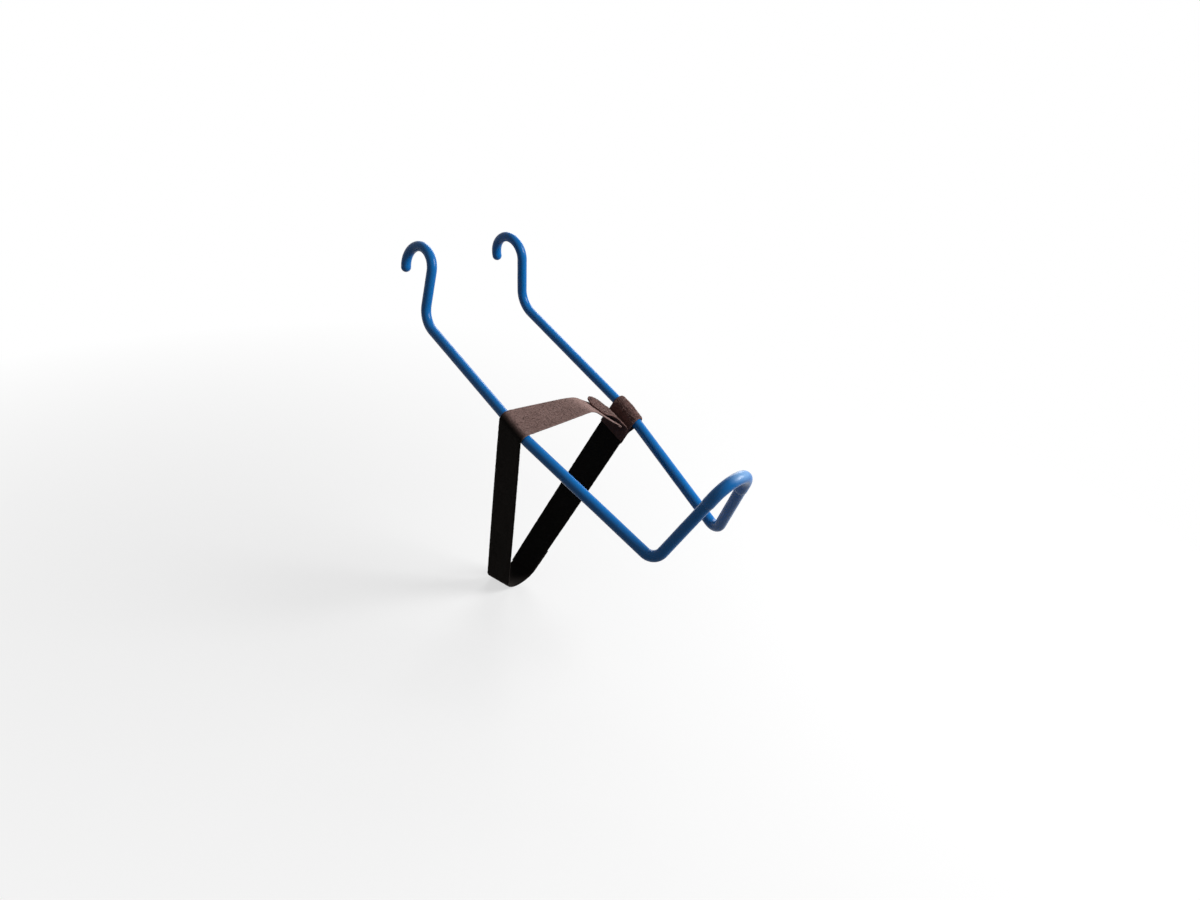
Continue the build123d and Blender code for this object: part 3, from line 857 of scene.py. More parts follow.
def folded(station, angle):
    """A lie on the fold, at this angle from straight down: the tape goes round its own end."""
    centre, across, facing = lie(*station, lift=FOLD_UP - FOLD_RADIUS)
    outward = -facing.cross(across).normalized()
    if outward.dot(sideways) > 0:
        outward = -outward
    turned = outward * sin(angle) - facing * cos(angle)
    return centre + turned * FOLD_RADIUS, across, turned


hem_end = cross_end_side + HEM_LENGTH * cos(slope_angle)
hem_sides = between((hem_end,), (fold_side,), FOLD_STEPS)
hem_lies = [folded(falling(side), 0.0) for (side,) in hem_sides]
fold_lies = [folded(falling(fold_side), pi * step / FOLD_STEPS) for step in range(1, FOLD_STEPS + 1)]
CLEAR = 14 * mm


def settled(side):
    """How far the cross run still rides up over its own hem."""
    away = (side - fold_side) / CLEAR
    return FOLD_UP * (1 - min(max(2 * away - 1, 0), 1))


over_hem = [lie(*falling(side), lift=settled(side))
            for (side,) in between((fold_side,), (crest_leave[0],), 40)[1:]]
crest_arc = round_arc(crest_centre, CREST_RADIUS, end_polar, cross_polar, 14, turn_rest)[1:]
crest_lies = [lie(*cross_station(side, up, polar)) for side, up, _, polar, _, _ in crest_arc]
wrap_arc = round_arc(wrap_centre, wrap_radius, cross_polar, near_polar, 20, wrap_rest)
near_span = between(crest_arc[-1][:2], wrap_arc[0][:2], 20)[1:-1]
span_lies = [lie(*cross_station(side, up, cross_polar)) for side, up in near_span]
turn_arc = round_arc(turn_centre, turn_radius, near_polar, far_polar - 360, 24, turn_rest)
side_run = between(wrap_arc[-1], turn_arc[0], 40)[1:-1]
LAP_LENGTH = 30 * mm
lap_run = [shifted(on_far_run(LAP_LENGTH * step / 6), lap_step, -360) for step in range(1, 7)]
side_lies = [lie(*station) for station in wrap_arc + side_run + turn_arc + lap_run]
cross_lies = hem_lies + fold_lies + over_hem + crest_lies
loop_way = Way(cross_lies + span_lies + side_lies, soft=1)
print("loop tape cut to", round(loop_way.length / mm, 1), "mm")

# %% The hook tape's way, up the far side, round the arm and back down on itself
SEAM_LENGTH = 18 * mm
TAIL_START = 4 * mm
EYE_WRAP = 222
seam_drop = wrap_radius + TAPE / 2 + 1 * mm
tail_high = far_length - seam_drop - TAIL_START
tail_length = SEAM_LENGTH - TAIL_START
far_run = [on_far_run(far_length * step / 40) for step in range(41)]
eye_arc = round_arc(eye_centre, -wrap_radius, far_polar, far_polar + EYE_WRAP, 30, eye_rest)[1:]
tail_run = [shifted(on_far_run(tail_high - tail_length * step / 8), TAPE + 0.1 * mm, 180)
            for step in range(9)]
hook_way = Way([lie(*station) for station in far_run + eye_arc + tail_run], soft=3)
print("hook tape cut to", round(hook_way.length / mm, 1), "mm")

# %% [markdown]
# The tab is thinner than the tape, because its patch of hooks is sewn on below it. Its root lies
# inside the far run, and from there it folds over to the outside of the cross run. A tab that has
# been opened many times isn't flat: it bulges just past its fold, its end is pressed down hard, and
# the corner that fingers pull at stands up. A straight tab would look new and stiff.

# %% The closing tab's way, up from its sewn root and over the cross run
ROOT_LENGTH = 14 * mm
TAB_LENGTH = 42.0 * mm
PATCH_THICKNESS = 0.8 * mm
SEWN_GAP = 0.1 * mm
ROOT_CLEAR = 1.6 * mm
tab_thickness = TAPE - PATCH_THICKNESS
tab_lift = TAPE / 2 + SLACK + PATCH_THICKNESS + SEWN_GAP + tab_thickness / 2
root_lift = -(TAPE + tab_thickness) / 2 - SEWN_GAP
root_high = shifted(far_top, root_lift)
run_down = tuple((low - high) / far_length for low, high in zip(far_low[:2], far_top[:2]))
tab_high = shifted(crest_leave, tab_lift)
reach = tab_high[1] - SLOPE * (tab_high[0] - root_high[0] - SLACK)
root_drop = (reach - ROOT_CLEAR - root_high[1]) / (run_down[1] - SLOPE * run_down[0])
tab_start = root_high[0] + run_down[0] * root_drop + SLACK - tab_lift * cos(radians(end_polar))
BULGE = 2.6 * mm
CURL = -1.1 * mm


def on_tab(distance):
    """A lie on the tab, this far from its root: it bulges up, and its free end is pressed down."""
    share = distance / TAB_LENGTH
    proud = BULGE * sin(pi * share ** 1.6) + CURL * share ** 2
    return lie(*falling(tab_start + distance * cos(slope_angle)), lift=tab_lift + proud)


root_top = far_length - root_drop
root_run = [lie(*on_far_run(root_top - ROOT_LENGTH * (1 - step / 12)), lift=root_lift)
            for step in range(13)]
tab_run = [on_tab(TAB_LENGTH * step / 30) for step in range(31)]
tab_way = Way(root_run + tab_run, soft=3)
tab_facing = tab_way.lies[-1][2]
CORNER_LIFT = 3.4 * mm


def corner_up(distance, across):
    """The front corner of the tab's free end stands up, where fingers have pulled at it."""
    share = max(0.0, (distance - tab_way.length + TAB_LENGTH) / TAB_LENGTH)
    front = max(0.0, -2 * across / TAPE_WIDTH)
    return tab_facing * (CORNER_LIFT * share ** 2 * front ** 1.5)


print("closing tab cut to", round(tab_way.length / mm, 1), "mm")

# %% [markdown]
# ## Cloth
#
# The loop tape is brushed: its face is a mat of tiny arches of yarn over a plain weave, grey-brown
# and a little paler on the nap. At its falling end under the tab, which catches the light, it is
# painted paler still, a painted light, and below the near arm, which lies in shade, it is painted
# near-black, a painted shade. The hook tape is woven with stiff nylon hooks, so it looks coarse, and
# it is dyed a darker brown; its far run, which lies in shade, is painted near-black too. One pattern
# in space would run through the folds, so these read the tape's own flat map, in metres, and follow
# every bend.


# %% Cloth
def along_share(finish, flat, start, end):
    """0 before one place along the tape and 1 after another, rising smoothly between."""
    split = finish.node("ShaderNodeSeparateXYZ", inputs={0: flat})
    return finish.node("ShaderNodeMapRange", {"interpolation_type": "SMOOTHSTEP"},
                       {0: split, 1: start, 2: end})


WEFT_PITCH = 0.9 * mm
WARP_PITCH = 0.8 * mm
PAINTED_LIGHT_SHARE = 0.33


def cloth(name, dark, pale, mat_scale, mat_depth, sheen, tint, plain=None, painted_light_span=None):
    """A woven tape with a nap; u runs along it and v across, both in metres.

    plain holds the two near-black colours of a painted shade, and between which places it begins.
    The last argument holds between which places a painted light makes the cloth paler, under the tab.
    """
    finish = Finish(name)
    flat = finish.node("ShaderNodeUVMap", {"uv_map": "flat"})
    across = finish.node("ShaderNodeSeparateXYZ", inputs={0: flat}, output=1)
    distance = finish.node("ShaderNodeSeparateXYZ", inputs={0: flat})
    weft = finish.node("ShaderNodeMath", {"operation": "SINE"}, {0: distance * (2 * pi / WEFT_PITCH)})
    warp = finish.node("ShaderNodeMath", {"operation": "SINE"}, {0: across * (2 * pi / WARP_PITCH)})
    weave = (weft * warp) * 0.5 + 0.5
    mat = finish.noise(flat, mat_scale, detail=4, roughness=0.65)
    tufts = finish.node("ShaderNodeTexVoronoi", inputs={"Vector": flat, "Scale": mat_scale * 0.55})
    trodden = finish.noise(flat, 55, detail=3)
    streaks = finish.noise(finish.stretched(flat, (120, 900, 1)), 1.0, detail=3)
    shade = mat * 0.55 + tufts * 0.25 + streaks * 0.2
    fibre = finish.blend((shade.power(1.4) * 1.3).clipped(), dark, pale)
    wear_and_painted_light = finish.blend((trodden - 0.45).clipped() * 0.5, fibre, pale)
    # Painted light: the falling end under the tab, which catches the light, is painted paler.
    if painted_light_span:
        wear_and_painted_light = finish.blend(along_share(finish, flat, *painted_light_span) * PAINTED_LIGHT_SHARE, wear_and_painted_light, pale)
    # Painted shade: the runs that lie in shade are painted near-black.
    if plain:
        painted_shade_colour = finish.blend(weave * 0.4 + mat * 0.6, *plain[0])
        wear_and_painted_light = finish.blend(along_share(finish, flat, *plain[1]), wear_and_painted_light, painted_shade_colour)
    height = mat * 0.6 + tufts * 0.3 + weave * 0.1
    return finish.done(Base_Color=wear_and_painted_light, Roughness=mat * 0.2 + 0.75,
                       Normal=finish.bump(height, mat_depth), Specular_IOR_Level=0.02,
                       Sheen_Weight=sheen, Sheen_Roughness=0.45, Sheen_Tint=tint)


# %% Where each tape changes its look
near_arm_place = Way(cross_lies + span_lies, soft=1).length
crest_place = Way(cross_lies, soft=1).length
BRUSHED_TO = near_arm_place + 3 * mm
PAINTED_SHADE_FROM = near_arm_place + 11 * mm
EYE_FROM = far_length - 9 * mm
RUN_TO = far_length - 22 * mm
print("the tape is over the crest at", round(crest_place / mm), "mm, at the near arm at",
      round(near_arm_place / mm), "mm")

# %% The three cloths
# The near-black is a painted shade, on the run below the near arm and up the far side, which lie in
# shade.
painted_shade_black = ((0.006, 0.0053, 0.0047), (0.026, 0.0238, 0.0218))
shaded_loop_run = (painted_shade_black, (BRUSHED_TO, PAINTED_SHADE_FROM))
shaded_far_run = (painted_shade_black, (EYE_FROM, RUN_TO))
warm_nap = (0.85, 0.68, 0.60, 1)
loop_cloth = cloth("brushed_loop_cloth", (0.118, 0.079, 0.071), (0.415, 0.273, 0.247),
                   mat_scale=1500, mat_depth=0.22 * mm, sheen=0.08, tint=warm_nap,
                   plain=shaded_loop_run, painted_light_span=(crest_place + 7 * mm, crest_place - 9 * mm))
brown_nylon = ((0.036, 0.020, 0.018), (0.270, 0.155, 0.140))
far_cloth = cloth("far_hook_cloth", *brown_nylon, mat_scale=1000, mat_depth=0.5 * mm,
                  sheen=0.06, tint=warm_nap, plain=shaded_far_run)
hook_cloth = cloth("woven_hook_cloth", *brown_nylon, mat_scale=1000, mat_depth=0.5 * mm,
                   sheen=0.06, tint=warm_nap)


# %% [markdown]
# Fibres are far too thin for a weave to show on them. Each only has its own shade, from a slow drift
# of colour through the cloth, and a faint twist. Bought hook tape is never one even colour, and loose
# yarn that it has caught is paler, so hooks and wisps are mottled more strongly than the pile.

# %% Yarn, nylon hooks and thread
def strand(name, dark, pale, scale, sheen, plain=None, mottle=1.0):
    """Finish of a thin fibre: its colour drifts from one to the next, more so with more mottle."""
    finish = Finish(name)
    place = finish.node("ShaderNodeTexCoord", output=3)
    drift = finish.noise(place, scale, detail=3)
    ply = finish.noise(place, scale * 9, detail=1)
    colour = finish.blend(((drift - 0.5) * mottle + 0.5).clipped(), dark, pale)
    # Painted shade: fibres on the runs that lie in shade are painted near-black.
    if plain:
        flat = finish.node("ShaderNodeUVMap", {"uv_map": "flat"})
        painted_shade_colour = finish.blend(drift, *plain[0])
        colour = finish.blend(along_share(finish, flat, *plain[1]), colour, painted_shade_colour)
    return finish.done(Base_Color=colour, Roughness=drift * 0.25 + 0.5,
                       Normal=finish.bump(ply, 0.03 * mm), Specular_IOR_Level=0.04, Sheen_Weight=sheen)


loop_yarn = strand("loop_yarn", (0.168, 0.111, 0.101), (0.50, 0.335, 0.304),
                   scale=420, sheen=0.06, plain=shaded_loop_run)
hook_nylon = strand("hook_nylon", (0.035, 0.018, 0.016), (0.54, 0.325, 0.295),
                    scale=360, sheen=0.06, plain=shaded_far_run, mottle=2.6)
wisp_yarn = strand("wisp_yarn", (0.035, 0.021, 0.018), (0.52, 0.37, 0.335),
                   scale=420, sheen=0.06, mottle=3.2)
sewing_thread = strand("black_thread", (0.016, 0.016, 0.017), (0.070, 0.067, 0.067),
                       scale=800, sheen=0.1)

# %% [markdown]
# ## Cutting, dressing and laying a tape
#
# A tape starts as a grid that lies flat, x along it and y across. Solidify gives it its body, its
# edges are rounded into selvedges, and its face is roughened. The flat map is written now, while
# x and y are still the real distances on the cloth. laid() then bends the whole thing, or
# anything else made flat, to the tape's way.
#
# Recalculating normals only guesses which side of a mesh is out, and on a long tape that folds back
# on itself, or on a bent hook, the guess is often wrong. So it is done while the cloth lies flat,
# the sign of the volume settles it, and whatever mirrors the mesh later turns its faces back.


# %% Cut a tape flat
def face_out(mesh):
    """Turns a closed shape right side out; the volume of one that is inside out is negative."""
    bmesh.ops.recalc_face_normals(mesh, faces=mesh.faces)
    if mesh.calc_volume(signed=True) < 0:
        bmesh.ops.reverse_faces(mesh, faces=mesh.faces)


def cut_tape(width, length, below, above, pitch):
    """A flat tape of this size, with its flat map in metres."""
    mesh = bmesh.new()
    flat_map = mesh.loops.layers.uv.new("flat")
    bmesh.ops.create_grid(mesh, x_segments=round(length / pitch), y_segments=round(width / pitch),
                          size=0.5)
    bmesh.ops.scale(mesh, verts=mesh.verts, vec=(length, width, 1))
    bmesh.ops.translate(mesh, verts=mesh.verts, vec=(length / 2, 0, above))
    bmesh.ops.recalc_face_normals(mesh, faces=mesh.faces)
    bmesh.ops.solidify(mesh, geom=mesh.faces[:], thickness=below + above)
    middle = sum(vert.co.z for vert in mesh.verts) / len(mesh.verts)
    bmesh.ops.translate(mesh, verts=mesh.verts, vec=(0, 0, (above - below) / 2 - middle))
    face_out(mesh)
    for face in mesh.faces:
        for loop in face.loops:
            loop[flat_map].uv = loop.vert.co.xy
    return mesh


# %% Round and roughen a flat tape
EDGE_SHARE = 0.5
EDGE_ROUND = 1.6 * mm
FRAY = 0.25 * mm


def near_edge(place, low, high, reach):
    """0 on an edge, rising to 1 this far inside it, along a quarter circle."""
    inside = min(place - low, high - place) / reach
    return 1.0 if inside >= 1 else (1 - (1 - max(inside, 0)) ** 2) ** 0.5


def edge_share(across, width):
    """What share of its full height the cloth has this far from its middle."""
    inside = near_edge(across, -width / 2, width / 2, EDGE_ROUND)
    return EDGE_SHARE + (1 - EDGE_SHARE) * inside


def dressed(mesh, width, rough, seed, lumps=420):
    """Rounds the selvedges and roughens both faces of a flat tape."""
    for vert in mesh.verts:
        round_off = edge_share(vert.co.y, width)
        where = Vector((vert.co.x * lumps, vert.co.y * lumps, seed + vert.co.z * 900))
        vert.co.z = vert.co.z * round_off + noise.noise(where) * rough
        fray = noise.noise(Vector((vert.co.x * 300, seed, 0))) * FRAY
        if abs(vert.co.y) > width / 2 - 0.5 * mm:
            vert.co.y += fray


def laid(mesh, way, sway=None):
    """Bends a flat mesh to a tape's way; a left-handed way mirrors it, so its faces are turned."""
    for vert in mesh.verts:
        centre, across, facing = way.at(vert.co.x)
        place = centre + across * vert.co.y + facing * vert.co.z
        vert.co = place + sway(vert.co.x, vert.co.y) if sway else place
    start, across, facing = way.at(0)
    if (way.at(way.spacing)[0] - start).dot(across.cross(facing)) < 0:
        bmesh.ops.reverse_faces(mesh, faces=mesh.faces)


# %% [markdown]
# ## The tapes
#
# The loop tape is one piece of cloth from its hem to the lap, though half of it swings open with the
# closure and half stays put. Two pieces would show a cut at the near arm, so it is one mesh. Its hem
# and what lies over it are pressed.

# %% Press the hem
CLOTH_PITCH = 0.9 * mm
BODY_BELOW = 1.0 * mm
BODY_ABOVE = 0.75 * mm


def thinned(distance):
    """1 on the pressed hem and fold, easing to 0 where the tape has its full body."""
    start = HEM_LENGTH + pi * FOLD_RADIUS + CLEAR / 2
    return 1 - min(max((distance - start) / (CLEAR / 2), 0), 1)


def pressed(mesh):
    """Flattens the hem, and the part that lies over it, to half the body."""
    for vert in mesh.verts:
        thin = thinned(vert.co.x)
        full = BODY_ABOVE if vert.co.z > 0 else BODY_BELOW
        vert.co.z *= 1 - thin + thin * FOLDED_HALF / full


# %% The loop tape
loop_mesh = cut_tape(TAPE_WIDTH, loop_way.length, BODY_BELOW, BODY_ABOVE, CLOTH_PITCH)
pressed(loop_mesh)
dressed(loop_mesh, TAPE_WIDTH, rough=0.10 * mm, seed=3)
laid(loop_mesh, loop_way)
loop_tape = piece(loop_mesh, "loop_tape", loop_cloth)
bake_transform(loop_tape)
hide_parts("side_tape", "cross_tape", "cross_hem")

# %% [markdown]
# The hook tape runs up the far side, goes round the arm in an eye, and is sewn down on itself. The
# eye sits right on the arm's bend. A straight eye would cut through the rod there, so the tape is
# swayed to follow the bend, and eased straight again towards both of its ends.

# %% Follow the bend of the far arm
HOOK_BELOW = 0.8 * mm
HOOK_ABOVE = 1.0 * mm
HOLD_START = 30 * mm
HOLD_RUN = 25 * mm
LOOSE_RUN = 8 * mm
waist_share = (far_waist - eye_from).dot(eye_chord) / eye_chord.length_squared
arm_bow = far_waist - (eye_from + eye_chord * waist_share)


def follow_arm(distance, across):
    """The far arm bends inside the eye, and the tape follows it."""
    place = across / eye_chord.length + 0.5
    kink = place / waist_share if place < waist_share else (1 - place) / (1 - waist_share)
    held = min(max((distance - far_length + HOLD_START) / HOLD_RUN, 0), 1)
    loose = min(max((distance - hook_way.length + SEAM_LENGTH) / LOOSE_RUN, 0), 1)
    return arm_bow * (kink - 0.12 * kink ** 4) * held * (1 - loose)


# %% The hook tape
hook_mesh = cut_tape(TAPE_WIDTH, hook_way.length, HOOK_BELOW, HOOK_ABOVE, CLOTH_PITCH)
dressed(hook_mesh, TAPE_WIDTH, rough=0.13 * mm, seed=11)
laid(hook_mesh, hook_way, follow_arm)
far_tape = piece(hook_mesh, "far_tape", far_cloth)
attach(far_tape, "holder")
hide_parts("hook_tape", "eye_lap")

# %% [markdown]
# ## The closing tab and its hook patch
#
# The tab is a short piece of hook tape, sewn by its root to the inside of the far run. It folds over
# the end of the cross run and holds it down with the hooks of a patch underneath. Its free end is
# cut round, so that it doesn't catch. Both are cut straight and drawn in at the end while they lie
# flat, which keeps the grid of the cloth even where a cut outline would leave ragged faces.


# %% Round a tape's free end
def rounded_end(mesh, length, width, radius):
    """Draws the last rows of a flat tape in to a round-cornered end."""
    for vert in mesh.verts:
        past = vert.co.x - (length - radius)
        if past > 0:
            drawn_in = radius - (radius ** 2 - min(past, radius) ** 2) ** 0.5
            vert.co.y *= 1 - drawn_in / (width / 2)


# %% The closing tab
TAB_PITCH = 0.8 * mm
END_RADIUS = 7 * mm
tab_mesh = cut_tape(TAPE_WIDTH, tab_way.length, tab_thickness / 2, tab_thickness / 2, TAB_PITCH)
rounded_end(tab_mesh, tab_way.length, TAPE_WIDTH, END_RADIUS)
dressed(tab_mesh, TAPE_WIDTH, rough=0.3 * mm, seed=17, lumps=330)
laid(tab_mesh, tab_way, corner_up)
closing_tab = piece(tab_mesh, "closing_tab", hook_cloth)
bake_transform(closing_tab)
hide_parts("tab_root", "hook_tab")

# %% The hook patch, under the tab
PATCH_MARGIN = 3 * mm
PATCH_START = 6 * mm
SKIVED_RUN = 6 * mm
SKIVED_SHARE = 0.75
patch_width = TAPE_WIDTH - 2 * PATCH_MARGIN
patch_length = TAB_LENGTH - PATCH_MARGIN - PATCH_START
patch_place = tab_way.length - TAB_LENGTH + PATCH_START
patch_middle = -(tab_thickness / 2 + SEWN_GAP + PATCH_THICKNESS / 2)
patch_mesh = cut_tape(patch_width, patch_length, PATCH_THICKNESS / 2, PATCH_THICKNESS / 2,
                      TAB_PITCH)
rounded_end(patch_mesh, patch_length, patch_width, END_RADIUS - PATCH_MARGIN)
dressed(patch_mesh, patch_width, rough=0.08 * mm, seed=23)
for vert in patch_mesh.verts:
    near_end = min(max((vert.co.x - patch_length + SKIVED_RUN) / SKIVED_RUN, 0), 1)
    skived = near_end * SKIVED_SHARE
    vert.co.z += (PATCH_THICKNESS / 2 - vert.co.z) * skived
bmesh.ops.translate(patch_mesh, verts=patch_mesh.verts, vec=(patch_place, 0, patch_middle))
laid(patch_mesh, tab_way, corner_up)
hook_patch = piece(patch_mesh, "hook_patch_cloth", hook_cloth)
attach(hook_patch, "tab")
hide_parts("hook_patch")

# %% [markdown]
# ## Pile and hooks
#
# Brushed loop cloth is thousands of arches of yarn, and hook cloth is thousands of nylon hooks.
# Hair particles wouldn't be part of the mesh, so the fibres are real: each is a three-sided
# thread spun round its own bend, with a dozen or two faces. One square of cloth is sown at random,
# and the square is repeated along the tape, every second one turned round so that nothing lines up.


# %% One fibre, an arch of yarn or a nylon hook
ROOTED = 0.12 * mm


def fibre(name, rise, radius, thickness, angle, steps):
    """A three-sided fibre that stands on the cloth, rises and bends over to one side."""
    mesh = bmesh.new()
    made = bmesh.ops.create_circle(mesh, segments=3, radius=thickness, cap_ends=True)
    verts, parts = made["verts"], mesh.faces[:]
    if rise:
        parts = bmesh.ops.extrude_face_region(mesh, geom=parts)["geom"]
        verts = [part for part in parts if isinstance(part, bmesh.types.BMVert)]
        bmesh.ops.translate(mesh, verts=verts, vec=(0, 0, rise))
    else:
        parts = mesh.verts[:] + mesh.edges[:] + mesh.faces[:]
    bmesh.ops.spin(mesh, geom=parts, cent=(radius, 0, rise), axis=(0, 1, 0), angle=angle, steps=steps)
    bmesh.ops.translate(mesh, verts=mesh.verts, vec=(-radius, 0, -ROOTED))
    face_out(mesh)
    data = bpy.data.meshes.new(name)
    mesh.to_mesh(data)
    mesh.free()
    return data


# %% The four kinds of fibre
arches = [fibre("arch", rise=0, radius=size * mm, thickness=0.075 * mm, angle=pi, steps=4)
          for size in (0.22, 0.27, 0.33, 0.46)]
low_arches = [fibre("low_arch", rise=0, radius=size * mm, thickness=0.08 * mm, angle=pi, steps=4)
              for size in (0.22, 0.28, 0.34)]
hooks = [fibre("hook", rise=high * mm, radius=0.2 * mm, thickness=0.085 * mm, angle=pi * 0.8, steps=3)
         for high in (0.3, 0.4, 0.5)]
wisps = [fibre("wisp", rise=0, radius=size * mm, thickness=0.05 * mm, angle=pi * 0.9, steps=5)
         for size in (0.5, 0.8)]
print("fibres have", [len(one.polygons) for one in (arches[0], hooks[0], wisps[0])], "faces")


# %% Sow a strip of cloth
def sown(length, width, per_square_mm, seed, fibres, lined_up=False):
    """A flat strip of cloth with fibres all over it, repeated from one square of it."""
    mesh = bmesh.new()
    dice = Random(seed)
    squares = max(1, round(length / width))
    square_length = length / squares
    for _ in range(round(per_square_mm * square_length * width / mm ** 2)):
        if lined_up:
            angle = dice.choice((0, pi)) + dice.uniform(-0.4, 0.4)
        else:
            angle = dice.uniform(0, 2 * pi)
        place = Matrix.Translation((dice.uniform(0, square_length),
                                    dice.uniform(-width / 2, width / 2), 0))
        lean = Matrix.Rotation(dice.uniform(-0.5, 0.5), 4, "X")
        place = place @ Matrix.Rotation(angle, 4, "Z") @ lean
        chosen = dice.choice(fibres)
        chosen.transform(place)
        mesh.from_mesh(chosen)
        chosen.transform(place.inverted())
    first = mesh.verts[:] + mesh.edges[:] + mesh.faces[:]
    half_turn = Matrix.Rotation(pi, 3, "Z")
    middle = Matrix.Translation((-square_length / 2, 0, 0))
    for number in range(1, squares):
        copied = bmesh.ops.duplicate(mesh, geom=first)["geom"]
        verts = [part for part in copied if isinstance(part, bmesh.types.BMVert)]
        if number % 2:
            bmesh.ops.rotate(mesh, verts=verts, matrix=half_turn, space=middle)
        bmesh.ops.translate(mesh, verts=verts, vec=(square_length * number, 0, 0))
    return mesh


def map_flat(mesh):
    """Writes where each point lies on the flat tape, in metres, as its map."""
    flat_map = mesh.loops.layers.uv.new("flat")
    for face in mesh.faces:
        for loop in face.loops:
            loop[flat_map].uv = loop.vert.co.xy


def set_on(mesh, start, width, height, face=1):
    """Puts a sown strip on a tape's upper or lower face, this far along."""
    for vert in mesh.verts:
        raised = vert.co.z + height * edge_share(vert.co.y, width)
        vert.co = Vector((vert.co.x + start, vert.co.y, raised * face))
    if face < 0:
        bmesh.ops.reverse_faces(mesh, faces=mesh.faces)
    map_flat(mesh)


# %% [markdown]
# The nap isn't the same all along the tape. From the hem to the crest the tab has crushed it. From
# there it grows to its full height within a couple of centimetres, as far as the near arm, and the
# plain run below has only a thin fuzz. One even pile would be quicker, but would look machine-made.

# %% Crushed pile, under the tab
PILE_START = HEM_LENGTH + 2.5 * mm
CRUSHED_TO = crest_place - 5 * mm
pile_width = TAPE_WIDTH - 0.6 * mm
crushed_mesh = sown(CRUSHED_TO - PILE_START, pile_width, per_square_mm=0.7, seed=40,
                    fibres=low_arches)
set_on(crushed_mesh, PILE_START, TAPE_WIDTH, BODY_ABOVE - 0.04 * mm)
laid(crushed_mesh, loop_way)
crushed_pile = piece(crushed_mesh, "crushed_pile", loop_yarn)

# %% Brushed pile, from the crest to the near arm
GROWTH_RUN = 16 * mm
LEAST_GROWTH = 0.3
side_start = BRUSHED_TO + 4 * mm
pile_mesh = sown(side_start - CRUSHED_TO, pile_width, per_square_mm=2.0, seed=41, fibres=arches)
for vert in pile_mesh.verts:
    grown = min(max(vert.co.x / GROWTH_RUN, 0), 1)
    vert.co.z *= LEAST_GROWTH + (1 - LEAST_GROWTH) * grown
set_on(pile_mesh, CRUSHED_TO, TAPE_WIDTH, BODY_ABOVE + 0.06 * mm)
laid(pile_mesh, loop_way)
brushed_pile = piece(pile_mesh, "brushed_pile", loop_yarn)
for made in (crushed_pile, brushed_pile):
    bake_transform(made)

# %% Thin fuzz on the plain run
side_mesh = sown(loop_way.length - side_start - 0.5 * mm, pile_width, per_square_mm=0.62, seed=42,
                 fibres=low_arches)
set_on(side_mesh, side_start, TAPE_WIDTH, BODY_ABOVE)
laid(side_mesh, loop_way)
side_pile = piece(side_mesh, "side_pile", loop_yarn)
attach(side_pile, "holder")

# %% [markdown]
# Hook tape is woven with its hooks in rows that all bend one way or the other along the tape, so
# these are sown lined up. They stand on one face only: inside the far run and outside the eye.

# %% Hooks on the hook tape
HOOKS_STAND = 0.88 * mm
hooked_width = TAPE_WIDTH - 2 * mm
run_mesh = sown(root_top - ROOT_LENGTH - 2 * mm, hooked_width, per_square_mm=1.2, seed=43,
                fibres=hooks, lined_up=True)
set_on(run_mesh, 1 * mm, TAPE_WIDTH, HOOKS_STAND, face=-1)
laid(run_mesh, hook_way, follow_arm)
run_hooks = piece(run_mesh, "run_hooks", hook_nylon)
eye_mesh = sown(hook_way.length - far_length - 1 * mm, hooked_width, per_square_mm=2.2, seed=44,
                fibres=hooks, lined_up=True)
set_on(eye_mesh, far_length, TAPE_WIDTH, HOOKS_STAND, face=-1)
laid(eye_mesh, hook_way, follow_arm)
eye_hooks = piece(eye_mesh, "eye_hooks", hook_nylon)
for made in (run_hooks, eye_hooks):
    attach(made, "holder")

# %% Hooks on the patch
patch_hook_mesh = sown(patch_length - 2 * mm, patch_width - 3 * mm, per_square_mm=1.6, seed=47,
                       fibres=hooks, lined_up=True)
patch_face = -patch_middle + PATCH_THICKNESS / 2 - 0.3 * mm
set_on(patch_hook_mesh, patch_place + 1 * mm, patch_width, patch_face, face=-1)
laid(patch_hook_mesh, tab_way, corner_up)
patch_hooks = piece(patch_hook_mesh, "patch_hooks", hook_nylon)
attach(patch_hooks, "tab")

# %% [markdown]
# Hooks collect loose yarn from the loop cloth, and a worn tab is fuzzy all over. The wisps are short,
# and none grow on the tab's fold, because they would be drawn through the eye when it peels open.

# %% Wisps of yarn that the hooks have caught
EYE_WISP_RUN = 36 * mm
TAB_WISP_START = 8 * mm
eye_wisp_mesh = sown(EYE_WISP_RUN, hooked_width, per_square_mm=0.8, seed=53, fibres=wisps)
set_on(eye_wisp_mesh, far_length - 2 * mm, TAPE_WIDTH, 0.85 * mm, face=-1)
laid(eye_wisp_mesh, hook_way, follow_arm)
eye_wisps = piece(eye_wisp_mesh, "eye_wisps", wisp_yarn)
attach(eye_wisps, "holder")
tab_wisp_mesh = sown(TAB_LENGTH - TAB_WISP_START - 1 * mm, hooked_width, per_square_mm=1.3, seed=59,
                     fibres=wisps + arches)
wisp_start = tab_way.length - TAB_LENGTH + TAB_WISP_START
set_on(tab_wisp_mesh, wisp_start, TAPE_WIDTH, tab_thickness / 2)
rounded_end(tab_wisp_mesh, tab_way.length, TAPE_WIDTH, END_RADIUS)
laid(tab_wisp_mesh, tab_way, corner_up)
tab_wisps = piece(tab_wisp_mesh, "tab_wisps", wisp_yarn)
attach(tab_wisps, "tab")

# %% [markdown]
# ## Sewing
#
# Four seams hold the strap together: the lap under the frame, the eye's tail, the patch and the
# hem. Each is a box or two rows of stitches of two-ply thread. A dashed line in the cloth's colour
# would do from far off, but a stitch stands proud of the cloth and shades it. So each is two
# strands that turn round each other and dive into the cloth at both ends.

